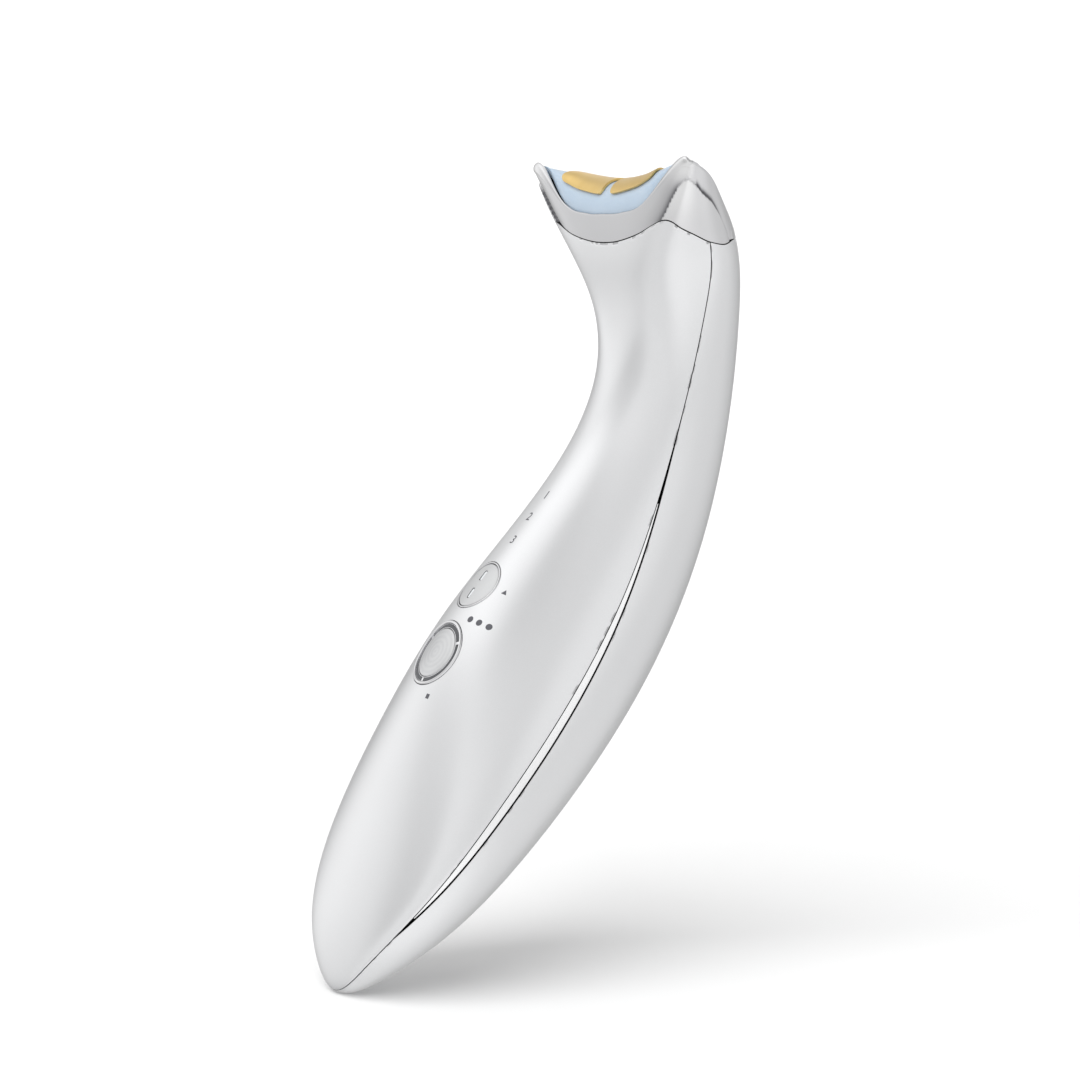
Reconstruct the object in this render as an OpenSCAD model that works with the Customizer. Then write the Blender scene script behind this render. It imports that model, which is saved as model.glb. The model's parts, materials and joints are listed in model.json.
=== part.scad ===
// Handheld facial lifting device: a curved two-part handle, a horned saddle head with two
// electrodes in a clear window, two sprung buttons, and the electronics inside.
// Millimetres, Z up. It leans back on its tail tip, with the buttons towards -Y.

/* [Body] */
// Height over all, in its stance
device_h = 146.6; // [143.6:0.5:149.6]
// Width of the handle at its widest
handle_w = 44.6; // [43.6:0.2:46.6]
// Width over the two horns of the head
horn_span = 54.8; // [53.3:0.5:56.8]
// Wall of the two shells
wall = 1.6; // [1.4:0.1:1.8]
// Fine gap between the two shells
seam_gap = 0.2; // [0.15:0.05:0.3]
// Width of the side trim with its groove
trim_w = 1.9; // [1.6:0.1:2.2]
// Groove between the side trim and the back shell
trim_groove = 0.4; // [0.3:0.05:0.5]

/* [Head] */
// Wall of the head bezel
bezel_wall = 1.7; // [1.5:0.1:1.9]
// Step of the window below the rim
window_step = 0.35; // [0.2:0.05:0.5]
// Thickness of the window
window_t = 1.5; // [1.3:0.1:1.7]
// Clearance round the window
window_clear = 0.15; // [0.1:0.05:0.2]
// Gap between the two electrodes at the middle
electrode_gap = 3.0; // [2.5:0.1:3.5]
// Height of the electrodes over the window
electrode_proud = 0.35; // [0.25:0.05:0.45]

/* [Buttons] */
// Outer diameter of the power button's ring
power_d = 12.8; // [12.4:0.1:13.2]
// Outer diameter of the mode button's ring
mode_d = 10.2; // [9.9:0.1:10.5]
// Travel of each button
press_travel = 0.4; // [0.3:0.05:0.5]
// Running clearance round each cap
cap_clear = 0.12; // [0.08:0.02:0.16]

/* [Power] */
// Diameter of the battery cell
cell_d = 14; // [13.6:0.1:14.4]
// Length of the battery cell
cell_len = 48; // [44:1:50]
// Bore of the charging socket
socket_bore_d = 2.6; // [2.5:0.05:2.8]
// Depth of the charging socket's bore
socket_depth = 9; // [8:0.5:10]

/* [Hidden] */

$fn = 64;
eps = 0.01;
radian = 180 / PI;

// Cross-sections from the top of the head down to the tail tip. Each row holds the
// place of the section's centre (y, z), its half width, its depth in front of the
// centre and behind it, its lean, and how square its front is (2 is an ellipse).
k_z = device_h / 146.6;
k_w = handle_w / 44.6;
k_head = horn_span / 54.8;
function row(y, z, w, front, back, lean, square) = [y, z * k_z, w * k_w, front, back, lean, square];
function head_row(y, z, w, front, back, square) = [y, z * k_z, w * k_head, front, back, 0, square];
rows = [
    head_row(17.0, 147, 28.5, 2.8, 9.6, 5),
    head_row(20.4, 138, 24.0, 6.2, 14.4, 5),
    head_row(27.8, 129, 16.6, 12.9, 12.6, 4.4),
    row(27.9, 120, 13.8, 10.0, 13.8, 0, 3.0),
    row(26.4, 107.5, 11.6, 9.6, 15.1, 8, 2.2),
    row(22.2, 94, 11.7, 11.5, 17.1, 16, 2),
    row(16.6, 81, 13.4, 14.9, 18.6, 22, 2),
    row(9.2, 68, 15.8, 17.9, 19.4, 28, 2),
    row(0.2, 56, 18.4, 18.9, 19.8, 34, 2),
    row(-10.5, 44, 21.0, 16.6, 19.6, 41, 2),
    row(-22.0, 32, 22.8, 11.4, 18.6, 46, 2),
    row(-30.3, 22, 21.6, 6.8, 16.0, 45, 2),
    row(-36.2, 13.6, 16.8, 3.9, 12.6, 42, 2),
    row(-39.8, 6.4, 10.2, 2.2, 8.2, 38, 2),
    row(-41.2, -2.2, 0, 0, 0, 34, 2)
];
tip_u = len(rows) - 1;

// The rows' own places run on past both ends, turned over at the tip so that it is round
function past_tip(r) = [r[0], r[1], -r[2], -r[3], -r[4], r[5], r[6]];
function row_at(i) = i < 0 ? 2 * rows[0] - rows[1] : i > tip_u ? past_tip(rows[2 * tip_u - i]) : rows[i];
// Smooth section at any place u along the rows
function station(u) = let (i = floor(u), t = u - i)
    ((1 - t) ^ 3 * row_at(i - 1) + (3 * t ^ 3 - 6 * t ^ 2 + 4) * row_at(i)
    + (3 * t - 3 * t ^ 3 + 3 * t ^ 2 + 1) * row_at(i + 1) + t ^ 3 * row_at(i + 2)) / 6;

// Outer skin at place u and angle a: 0 at the right seam, 90 at the front crest, -90 at the
// back crest. It can be drawn in by inset, and moved off the seam by gap.
function skin(u, a, inset = 0, gap = 0) = let (
    s = station(u),
    front = sin(a) > 0 || (sin(a) == 0 && gap > 0),
    n = front ? s[6] : 2,
    r = (abs(cos(a)) ^ n + abs(sin(a)) ^ n) ^ (1 / n),
    depth = max((front ? s[3] : s[4]) - inset - abs(gap), 0),
    d = gap + depth * sin(a) / r,
    x = max(s[2] - inset, 0) * cos(a) / r
) [x, s[0] - d * cos(s[5]), s[1] + d * sin(s[5])];

// In the head the sections are level, so a height gives the place
function u_of_z(z) = (147 - z / k_z) / 9;

// Heights of the wavy joint under the bezel and of the bezel's rim, every 15 degrees
// from the back crest round the side to the front crest
joint_heights = [132.6, 132.6, 132.5, 132.3, 132.1, 131.2, 131.6, 132.7, 133.9, 135.4, 133.0, 131.8, 131.5];
rim_heights = [134.8, 134.7, 134.4, 134.4, 138.0, 143.1, 145.2, 145.7, 146.0, 146.05, 138.6, 137.0, 136.8];
function fold(a) = asin(sin(a));
function mirror_i(i) = i < 0 ? -i : i > 12 ? 24 - i : i;
function height_at(list, a) = let (q = (fold(a) + 90) / 15, i = max(min(floor(q), 11), 0), t = q - i,
    p0 = list[mirror_i(i - 1)], p1 = list[i], p2 = list[i + 1], p3 = list[mirror_i(i + 2)])
    k_z * (p1 + t * (p2 - p0) / 2 + t ^ 2 * (p0 - 2.5 * p1 + 2 * p2 - p3 / 2)
    + t ^ 3 * (1.5 * p1 - 1.5 * p2 + (p3 - p0) / 2));
function joint_u(a) = u_of_z(height_at(joint_heights, a));

// Two triangles for each cell of a grid of points with n columns and m rows
function cells(n, m, first = 0, flip = false) = [for (j = [0:m - 2], i = [0:n - 2], half = [0, 1])
    let (p = first + j * n + i, q = p + n)
    half == 0 ? (flip ? [p, p + 1, q] : [p, q, p + 1]) : (flip ? [p + 1, q + 1, q] : [p + 1, q, q + 1])];

// One shell: outer skin and inner skin from the head joint to the tail, open along its
// two lips, and solid over the last stretch before the tip.
shell_rows = 26;
hollow_rows = 23;
function shell_u(j, a) = let (t = j / shell_rows, top = joint_u(a)) top + (tip_u - top) * t;
function arc(from, to, n) = [for (i = [0:n]) from + (to - from) * i / n];

module shell_loft(angles_at, n) {
    m = n + 1;
    side = sign(angles_at(8)[1]);
    gap = side * seam_gap / 2;
    outer = [for (j = [0:shell_rows - 1]) for (a = angles_at(shell_u(j, 0)))
        skin(shell_u(j, a), a, 0, gap)];
    inner = [for (j = [0:hollow_rows]) for (a = angles_at(shell_u(j, 0)))
        skin(shell_u(j, a), a, wall, gap)];
    tip = [skin(tip_u, 90, 0, 0)];
    io = m * shell_rows;
    it = io + m * (hollow_rows + 1);
    last = m * (shell_rows - 1);
    end_in = io + m * hollow_rows;
    lips = [for (j = [0:hollow_rows - 1]) let (p = j * m, q = p + m, pi = io + p, qi = pi + m)
        each [[p, pi, q], [q, pi, qi], [p + n, q + n, pi + n], [q + n, qi + n, pi + n]]];
    top_edge = [for (i = [0:n - 1]) each [[i, i + 1, io + i], [i + 1, io + i + 1, io + i]]];
    tail_seam = [for (j = [hollow_rows:shell_rows - 2]) let (p = j * m, q = p + m)
        each (j > hollow_rows ? [[p, p + n, q], [p + n, q + n, q]]
            : [[p, end_in, q], [end_in, end_in + n, q], [end_in + n, p + n, q], [p + n, q + n, q]])];
    inner_end = [for (i = [1:n - 1]) [end_in, end_in + i, end_in + i + 1]];
    tip_fan = concat([for (i = [0:n - 1]) [last + i, it, last + i + 1]], [[last, last + n, it]]);
    faces = concat(cells(m, shell_rows), cells(m, hollow_rows + 1, io, true), lips, top_edge,
        tail_seam, inner_end, tip_fan);
    turned = side > 0 ? faces : [for (f = faces) [f[2], f[1], f[0]]];
    polyhedron(points = concat(outer, inner, tip), faces = turned);
}

// Width of the trim at place u, as an angle of the section: a slim crescent
trim_from = 4.4;
trim_to = 12.2;
trim_skew = 1.35;
function trim_angle(u) = let (t = (u - trim_from) / (trim_to - trim_from), s = station(u))
    t <= 0 || t >= 1 ? 0 : trim_w * sin(180 * t ^ trim_skew) / s[4] * radian;

module front_shell() {
    color("gainsboro") difference() {
        union() {
            shell_loft(function(u) arc(0, 180, 36), 36);
            on_panel() for (u = boss_places) board_boss(u);
        }
        on_panel() {
            translate([0, -spacing / 2, -button_reach])
                cylinder(d = power_d + 2 * fit, h = 2 * button_reach);
            translate([0, spacing / 2, -button_reach])
                cylinder(d = mode_d + 2 * fit, h = 2 * button_reach);
            for (u = boss_places)
                translate([0, panel_y(u), -board_depth - eps])
                    cylinder(d = screw_d + 2 * fit, h = screw_grip);
        }
    }
}

module back_shell() {
    color("silver") difference() {
        shell_loft(function(u) arc(-trim_angle(u), trim_angle(u) - 180, 32), 32);
        at_back(socket_u) translate([0, 0, -2 * wall]) cylinder(d = socket_nose_d + 2 * fit, h = 4 * wall);
    }
}

// Trim: a slim band between the seam and the groove
trim_rows = 22;
trim_side = 1.1;
trim_least = 0.12;
trim_start = asin((trim_groove + trim_least) / trim_w) / 180;
function trim_end(share) = trim_from + (trim_to - trim_from) * share ^ (1 / trim_skew);
module side_trim_right() {
    color("white") {
        first = trim_end(trim_start);
        last = trim_end(1 - trim_start);
        ring = 8;
        points = [for (j = [0:trim_rows]) let (u = first + (last - first) * j / trim_rows,
            s = station(u), to = -trim_angle(u) + trim_groove / s[4] * radian)
            each concat([for (a = arc(0, to, 3)) skin(u, a, 0, -seam_gap / 2)],
                [for (a = arc(to, 0, 3)) skin(u, a, trim_side, -seam_gap / 2)])];
        sides = [for (j = [0:trim_rows - 1], i = [0:ring - 1])
            let (p = j * ring, q = p + ring, k = (i + 1) % ring)
            each [[p + i, p + k, q + i], [p + k, q + k, q + i]]];
        n = trim_rows * ring;
        caps = [for (i = [0:2]) each [[7 - i, i + 1, i], [7 - i, 6 - i, i + 1],
            [n + i, n + i + 1, n + 7 - i], [n + i + 1, n + 6 - i, n + 7 - i]]];
        polyhedron(points = points, faces = concat(sides, caps));
    }
}
module side_trim_left() {
    mirror([1, 0, 0]) side_trim_right();
}

// Places on the head: the skin at a level, and how far the window's edge stands upright
function head_pt(a, z, inset = 0) = skin(u_of_z(z), a, inset);
horn_a = 44;
upright_over = 16;
function upright(a) = let (t = min(max((fold(a) - horn_a) / upright_over, 0), 1)) t * t * (3 - 2 * t);
function bump(v) = abs(v) >= 1 ? 0 : (1 - v * v) ^ 2;
function at_horn(a) = bump((fold(a) - horn_a) / 18);
function rim_w(a) = 0.4 + 1.7 * (1 - upright(a)) - 0.9 * at_horn(a);
// The rim's outer edge is rounded: how far down and how far in, more so on the horns
function round_down(a) = 0.35 + 0.6 * (1 - upright(a)) + 0.9 * at_horn(a);
function round_in(a) = 0.85 * rim_w(a);
function rim_z(a) = height_at(rim_heights, a);
rim_drop = 0.15;
front_sink = 0.05;
function edge_sink(a) = rim_drop + front_sink * upright(a) + window_step * (1 - upright(a));
function pocket_depth(a) = edge_sink(a) + window_t * (1 - upright(a)) + fit + 2.0 * at_horn(a);
ledge_w = 1.0;
skirt_t = 1.1;
skirt_clear = 0.12;
skirt_h = 2.4;

// Columns of the window from its middle (0) to a horn (1), and the angles at which they
// meet the rim in front and behind. The bezel has its columns at the same angles.
window_end = 0.985;
window_cols = 18;
half_columns = [for (q = arc(0, 90, window_cols)) window_end * sin(q)];
function front_a(s) = 90 - atan(s / tan(horn_a));
function back_a(s) = radian * s - 90 + (90 + horn_a - radian) * s ^ 3;
right_angles = concat([for (t = half_columns) back_a(t)],
    [for (i = [window_cols:-1:0]) front_a(half_columns[i])]);
bezel_angles = concat(right_angles, [for (i = [len(right_angles) - 2:-1:1]) 180 - right_angles[i]]);

// Bezel: one closed ring, whose section runs up the outside, over the rim, down the
// window's pocket and ledge, and round the skirt inside the shells.
function bezel_section(a) = let (
    low = height_at(joint_heights, a) + seam_gap, top = rim_z(a), r = rim_w(a),
    ledge_z = top - pocket_depth(a), ledge = r + ledge_w + window_t * upright(a),
    skirt = wall + skirt_clear, inside = max(bezel_wall, skirt + skirt_t)
) concat(
    [for (t = [0, 0.35, 0.7, 1]) head_pt(a, low + (top - round_down(a) - low) * t, 0)],
    [for (q = [30, 60, 90]) head_pt(a, top - round_down(a) * (1 - sin(q)), round_in(a) * (1 - cos(q)))],
    [head_pt(a, top - rim_drop, r),
        head_pt(a, ledge_z, r), head_pt(a, ledge_z, ledge),
        head_pt(a, min(ledge_z - 0.8, low + 1.2), inside), head_pt(a, low - skirt_h, inside),
        head_pt(a, low - skirt_h, skirt), head_pt(a, low, skirt)]);
module head_bezel() {
    color("lightsteelblue") {
        ring = len(bezel_section(0));
        n = len(bezel_angles);
        points = [for (a = bezel_angles) each bezel_section(a)];
        faces = [for (i = [0:n - 1], k = [0:ring - 1])
            let (p = i * ring, q = ((i + 1) % n) * ring, l = (k + 1) % ring)
            each [[p + k, q + k, p + l], [q + k, q + l, p + l]]];
        polyhedron(points = points, faces = faces);
    }
}

// Face of the window: columns from the front rim over the ridge to the back rim.
// t runs from one horn (-1) to the other (1), v from front (0) to back (1), and deep
// is the distance under the face.
horn_clear = 0.6;
ridge_over = 7.2;
ridge_rise = 3.8;
ridge_ease = 0.9;
bulge = 1.0;
function bezier(p, v) = (1 - v) ^ 3 * p[0] + 3 * (1 - v) ^ 2 * v * p[1]
    + 3 * (1 - v) * v ^ 2 * p[2] + v ^ 3 * p[3];
function window_edge(a, deep) = head_pt(a, rim_z(a) - edge_sink(a) - deep * (1 - upright(a)),
    rim_w(a) + window_clear + deep * upright(a)) + [0, horn_clear * at_horn(a), 0];
window_x = window_edge(horn_a, 0)[0];
function window_pt(t, v, deep = 0) = let (
    front = window_edge(front_a(abs(t)), deep),
    back = window_edge(back_a(abs(t)), deep),
    out = front[0] / window_x,
    rise = ridge_over + ridge_rise * out ^ 2 - ridge_ease * out ^ 6,
    ridge = (rim_z(90) + rim_z(-90)) / 2 + rise - deep,
    high = max(ridge + 0.3 * (ridge - (front[2] + back[2]) / 2), front[2]),
    reach = (back[1] - front[1]) * 0.45,
    swell = bulge * upright(front_a(abs(t))),
    p = bezier([front, [front[0], front[1] - swell, high],
        [(front[0] + back[0]) / 2, front[1] + reach, high], back], v)
) [t < 0 ? -p[0] : p[0], p[1], p[2]];

// A plate that follows the window's face between two depths, over columns ts, with its
// front and back edges given for each column
module face_plate(ts, from, to, rows_n, top, bottom) {
    n = rows_n + 1;
    m = len(ts);
    function grid(deep) = [for (t = ts) for (k = [0:rows_n])
        window_pt(t, from(t) + (to(t) - from(t)) * k / rows_n, deep)];
    b = n * m;
    rim_ends = [for (k = [0:n - 2]) each [[k, k + 1, b + k], [k + 1, b + k + 1, b + k],
        [b - n + k + 1, b - n + k, 2 * b - n + k], [2 * b - n + k + 1, b - n + k + 1, 2 * b - n + k]]];
    rim_sides = [for (j = [0:m - 2]) let (p = j * n, q = p + n, r = p + n - 1, s = q + n - 1)
        each [[p, b + p, q], [q, b + p, b + q], [r, s, b + r], [s, b + s, b + r]]];
    polyhedron(points = concat(grid(top), grid(bottom)),
        faces = concat(cells(n, m, 0, true), cells(n, m, b), [for (f = rim_ends) [f[2], f[1], f[0]]],
            [for (f = rim_sides) [f[2], f[1], f[0]]]));
}

module face_window() {
    columns = concat([for (i = [window_cols:-1:1]) -half_columns[i]], half_columns);
    color("lightblue") difference() {
        face_plate(columns, function(t) 0, function(t) 1, 10, 0, window_t);
        post_holes();
    }
}

// Electrodes: plates on the window, each with a post down into its carrier
pad_lift = 0.15;
pad_inner_t = electrode_gap / 2 / window_pt(1, 0)[0];
pad_outer_t = 0.635;
post_d = 2.4;
post_end_z = 128.6;
post_top = window_pt(0.41, 0.55);
post_x = post_top[0];
post_y = post_top[1];
function pad_front(t) = let (s = abs(t) / pad_outer_t) 0.16 + 0.04 * s;
function pad_back(t) = let (s = abs(t) / pad_outer_t) 0.80 - 0.45 * s ^ 4;
module electrode_right() {
    color("goldenrod") {
        face_plate(arc(pad_inner_t, pad_outer_t, 10), function(t) pad_front(t), function(t) pad_back(t), 8,
            -electrode_proud - pad_lift, -pad_lift);
        translate([post_x, post_y, k_z * post_end_z])
            cylinder(d = post_d, h = post_top[2] - 0.1 - k_z * post_end_z);
    }
}
module electrode_left() {
    mirror([1, 0, 0]) electrode_right();
}
module post_holes() {
    low = k_z * post_end_z - 1;
    for (side = [-1, 1]) translate([side * post_x, post_y, low])
        cylinder(d = post_d + 2 * fit, h = device_h - low);
}

// Frame on the front of the handle: its origin is midway between the two buttons, x to
// the right, y up the handle, z outwards
mode_u = 7.56;
power_u = 8.62;
crest_mode = skin(mode_u, 90);
crest_power = skin(power_u, 90);
panel_mid = (crest_mode + crest_power) / 2;
spacing = norm(crest_mode - crest_power);
panel_lean = atan2(crest_mode[1] - crest_power[1], crest_mode[2] - crest_power[2]);
panel_up = [0, sin(panel_lean), cos(panel_lean)];
panel_out = [0, -cos(panel_lean), sin(panel_lean)];
module on_panel() {
    translate(panel_mid) rotate([90 - panel_lean, 0, 0]) children();
}
function panel_y(u) = (skin(u, 90) - panel_mid) * panel_up;
function panel_depth(u, a = 90, inset = 0) = -((skin(u, a, inset) - panel_mid) * panel_out);
function from_panel(x, y, depth) = panel_mid + [x, 0, 0] + y * panel_up - depth * panel_out;

// Frame on the back crest at place u, z outwards
module at_back(u) {
    a = skin(u - 0.1, -90);
    b = skin(u + 0.1, -90);
    lean = atan2(a[1] - b[1], a[2] - b[2]);
    translate(skin(u, -90)) rotate([-90 - lean, 0, 0]) children();
}

// General fit between seated pieces
fit = 0.05;

// Plug of the front skin: a round piece whose top follows the crest's own curve
button_reach = 9;
module skin_plug(y, u, r, top, bottom) {
    s = station(u);
    crest_r = s[2] ^ 2 / s[3];
    translate([0, y, 0]) intersection() {
        translate([0, 0, -bottom]) cylinder(r = r, h = bottom + 2);
        translate([0, 0, -crest_r - top]) rotate([90, 0, 0])
            cylinder(r = crest_r, h = 4 * r, center = true, $fn = 128);
    }
}
module skin_ring(y, u, outer_r, inner_r, top, bottom) {
    difference() {
        skin_plug(y, u, outer_r, top, bottom);
        translate([0, y, -2 * button_reach]) cylinder(r = inner_r, h = 4 * button_reach);
    }
}

// Power button: chrome ring, light ring, and the cap that is pressed
ring_depth = 4.2;
power_r = power_d / 2;
power_ring_w = 0.55;
light_ring_w = 0.95;
light_outer_r = power_r - power_ring_w - fit;
light_inner_r = light_outer_r - light_ring_w;
power_cap_r = light_inner_r - cap_clear;
cap_depth = 4.6;
flange_t = 0.9;
flange_w = 0.7;
module power_ring() {
    color("silver") on_panel()
        skin_ring(-spacing / 2, power_u, power_r, power_r - power_ring_w, -0.06, ring_depth);
}
module power_light_ring() {
    bottom = cap_depth - flange_t - 0.2;
    color("dimgray") on_panel() skin_ring(-spacing / 2, power_u, light_outer_r, light_inner_r, 0.1, bottom);
}
module power_button() {
    color("gainsboro") on_panel() {
        skin_plug(-spacing / 2, power_u, power_cap_r, 0, cap_depth);
        translate([0, -spacing / 2, -cap_depth]) cylinder(r = power_cap_r + flange_w, h = flange_t);
    }
}

// Mode button: thin ring, cap with two slots, and the light pipes in the slots
mode_r = mode_d / 2;
mode_ring_w = 0.3;
mode_cap_r = mode_r - mode_ring_w - cap_clear;
dash_len = 2.3;
dash_w = 0.9;
dash_y = 1.95;
module dash(grow) {
    w = dash_w + 2 * grow;
    for (side = [-1, 1]) translate([0, spacing / 2 + side * dash_y, -cap_depth - eps]) {
        translate([-w / 2, -(dash_len - dash_w) / 2, 0]) cube([w, dash_len - dash_w, cap_depth + 2]);
        for (end = [-1, 1]) translate([0, end * (dash_len - dash_w) / 2, 0])
            cylinder(d = w, h = cap_depth + 2);
    }
}
module mode_ring() {
    color("silver") on_panel()
        skin_ring(spacing / 2, mode_u, mode_r, mode_r - mode_ring_w, -0.04, ring_depth - 0.4);
}
module mode_button() {
    color("whitesmoke") on_panel() difference() {
        union() {
            skin_plug(spacing / 2, mode_u, mode_cap_r, 0.02, cap_depth);
            translate([0, spacing / 2, -cap_depth]) cylinder(r = mode_cap_r + 0.35, h = flange_t / 2);
        }
        dash(0);
    }
}
module mode_light_pipes() {
    color("lightcyan") on_panel() intersection() {
        skin_plug(spacing / 2, mode_u, mode_cap_r, 0.04, cap_depth);
        dash(-0.02);
    }
}

// Main board with its switches, chips and transformer
board_depth = 9.4;
board_t = 1.2;
board_w = 15;
board_from = -28;
board_to = 27;
switch_w = 6;
switch_h = 3.4;
stem_d = 3;
boss_d = 4.6;
boss_places = [6.15, 9.75];
screw_d = 1.6;
screw_head_d = 3.2;
screw_head_h = 1;
screw_grip = 4.5;
module board_boss(u) {
    start = panel_depth(u) + wall * 0.6;
    translate([0, panel_y(u), -board_depth]) cylinder(d = boss_d, h = board_depth - start);
}
module main_board() {
    color("darkgreen") on_panel() difference() {
        translate([-board_w / 2, board_from, -board_depth - board_t])
            cube([board_w, board_to - board_from, board_t]);
        for (u = boss_places) translate([0, panel_y(u), -board_depth - 2 * board_t])
            cylinder(d = screw_d + 0.4, h = 3 * board_t);
    }
}
module board_screws() {
    color("dimgray") on_panel() for (u = boss_places) translate([0, panel_y(u), -board_depth - board_t]) {
        translate([0, 0, -screw_head_h]) cylinder(d = screw_head_d, h = screw_head_h);
        cylinder(d = screw_d, h = board_t + screw_grip - 0.6);
    }
}
module tact_switch(y) {
    translate([0, y, -board_depth]) difference() {
        translate([-switch_w / 2, -switch_w / 2, 0]) cube([switch_w, switch_w, switch_h]);
        translate([0, 0, 0.8]) cylinder(d = stem_d + 0.2, h = switch_h);
    }
}
module stem(y) {
    translate([0, y, -cap_depth - stem_len]) cylinder(d = stem_d, h = stem_len);
}
stem_len = board_depth - cap_depth - 0.8 - press_travel - 0.35;
module power_switch() {
    color("black") on_panel() tact_switch(-spacing / 2);
}
module power_stem() {
    color("white") on_panel() stem(-spacing / 2);
}
module mode_switch() {
    color("black") on_panel() tact_switch(spacing / 2);
}
module mode_stem() {
    color("white") on_panel() stem(spacing / 2);
}

// Chips on the back of the board: place along the board, width, length and height
chips = [
    [0, 8, 6, 6, 1], [-3.5, 0, 4, 3, 1.2], [3.5, 0.5, 3, 4, 0.9], [0, -9, 7, 7, 1.1], [0, -18, 5, 4, 1.4]
];
module board_chips() {
    color("black") on_panel() for (c = chips)
        translate([c[0] - c[2] / 2, c[1] - c[3] / 2, -board_depth - board_t - c[4]])
            cube([c[2], c[3], c[4]]);
}

// Transformer: two flanges round a wound bobbin, just below the upper screw
transformer_w = 10;
transformer_l = 9;
transformer_base = 1.2;
bobbin_d = 7;
bobbin_h = 2.4;
flange_h = 1;
transformer_h = transformer_base + bobbin_h + flange_h;
transformer_y = panel_y(boss_places[0]) - screw_head_d / 2 - 0.5 - transformer_l / 2;
module rf_transformer() {
    color("saddlebrown") on_panel() translate([0, transformer_y, -board_depth - board_t]) {
        translate([0, 0, -transformer_base / 2])
            cube([transformer_w, transformer_l, transformer_base], center = true);
        translate([0, 0, flange_h - transformer_h - eps])
            cylinder(d = bobbin_d, h = bobbin_h + 2 * eps);
        translate([0, 0, flange_h / 2 - transformer_h])
            cube([transformer_w, transformer_l, flange_h], center = true);
    }
}

// Battery cell along the handle, held in a sprung cradle that stands on the back shell
cell_under = 0.3;
cell_depth = board_depth + board_t + transformer_h + cell_under + cell_d / 2;
cell_from = transformer_y - 1.5 - cell_len;
module battery() {
    color("steelblue") on_panel() translate([0, cell_from, -cell_depth]) rotate([-90, 0, 0]) {
        cylinder(d = cell_d, h = cell_len - 1);
        translate([0, 0, cell_len - 1]) cylinder(d = 5, h = 1);
    }
}
cradle_t = 1.2;
cradle_from = cell_from + 8.5;
cradle_len = cell_len - 14;
foot_places = [8.05, 9.0];
module battery_cradle() {
    color("dimgray") on_panel() {
        difference() {
            union() {
                translate([0, cradle_from, -cell_depth]) rotate([-90, 0, 0])
                    cylinder(d = cell_d + 2 * (fit + cradle_t), h = cradle_len);
                for (u = foot_places) cradle_foot(u);
            }
            translate([0, cradle_from - 1, -cell_depth]) rotate([-90, 0, 0])
                cylinder(d = cell_d + 2 * fit, h = cradle_len + 2);
            translate([-cell_d, cradle_from - 1, -cell_depth + cell_d * 0.2])
                cube([2 * cell_d, cradle_len + 2, cell_d]);
        }
    }
}
function back_y(u) = (skin(u, -90) - panel_mid) * panel_up;
module cradle_foot(u) {
    reach = min(panel_depth(u - 0.15, -90, wall), panel_depth(u + 0.15, -90, wall)) - 0.15;
    translate([0, back_y(u), -reach]) cylinder(d = 4, h = reach - cell_depth - cell_d / 2);
}

// Carrier of the electrodes: a plate inside the bezel's skirt, with two towers
carrier_z = 129.6;
carrier_t = 1.5;
tower_d = 4.8;
tower_top = 139;
module carrier_outline() {
    inset = wall + 4 * skirt_clear + skirt_t + fit;
    axis_y = station(u_of_z(k_z * carrier_z))[0];
    function reach(p) = norm([p[0], p[1] - axis_y]);
    polygon([for (a = bezel_angles) let (
        low = head_pt(a, k_z * carrier_z, inset), high = head_pt(a, k_z * carrier_z + carrier_t, inset),
        p = reach(low) < reach(high) ? low : high) [p[0], p[1]]]);
}
module electrode_carrier() {
    color("ivory") difference() {
        union() {
            translate([0, 0, k_z * carrier_z]) linear_extrude(carrier_t) carrier_outline();
            for (side = [-1, 1]) translate([side * post_x, post_y, k_z * carrier_z])
                cylinder(d = tower_d, h = k_z * (tower_top - carrier_z));
        }
        post_holes();
    }
}

// Light board in the head and the temperature sensor that touches the window
light_board_w = 9;
light_board_l = 14;
light_board_y = 19;
light_board_t = 1;
sensor_top = window_pt(0, 0.5, window_t) - [0, 0, 0.3];
sensor_tip_h = 0.8;
module head_light_board() {
    color("forestgreen") translate([0, light_board_y, k_z * carrier_z + carrier_t]) {
        translate([-light_board_w / 2, 0, 0]) cube([light_board_w, light_board_l, light_board_t]);
        for (x = [-2.8, 2.8], y = [2, light_board_l - 2]) translate([x - 0.9, y - 0.8, light_board_t])
            cube([1.8, 1.6, 0.7]);
    }
}
module temperature_sensor() {
    base = k_z * carrier_z + carrier_t + light_board_t;
    color("silver") translate([0, sensor_top[1], base]) {
        cylinder(d = 1.6, h = sensor_top[2] - base - sensor_tip_h);
        translate([0, 0, sensor_top[2] - base - sensor_tip_h]) cylinder(d = 2.6, h = sensor_tip_h);
    }
}

// Charging socket in the back of the tail
socket_u = 11.1;
socket_nose_d = 6;
socket_body_d = 8;
socket_end_t = 2.5;
module charge_socket() {
    body_top = wall + 0.5;
    color("black") at_back(socket_u) difference() {
        union() {
            translate([0, 0, -body_top]) cylinder(d = socket_nose_d, h = body_top - 0.1);
            translate([0, 0, -socket_depth - socket_end_t])
                cylinder(d = socket_body_d, h = socket_depth + socket_end_t - body_top);
        }
        translate([0, 0, -socket_depth]) cylinder(d = socket_bore_d, h = socket_depth + 1);
    }
}

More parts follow.
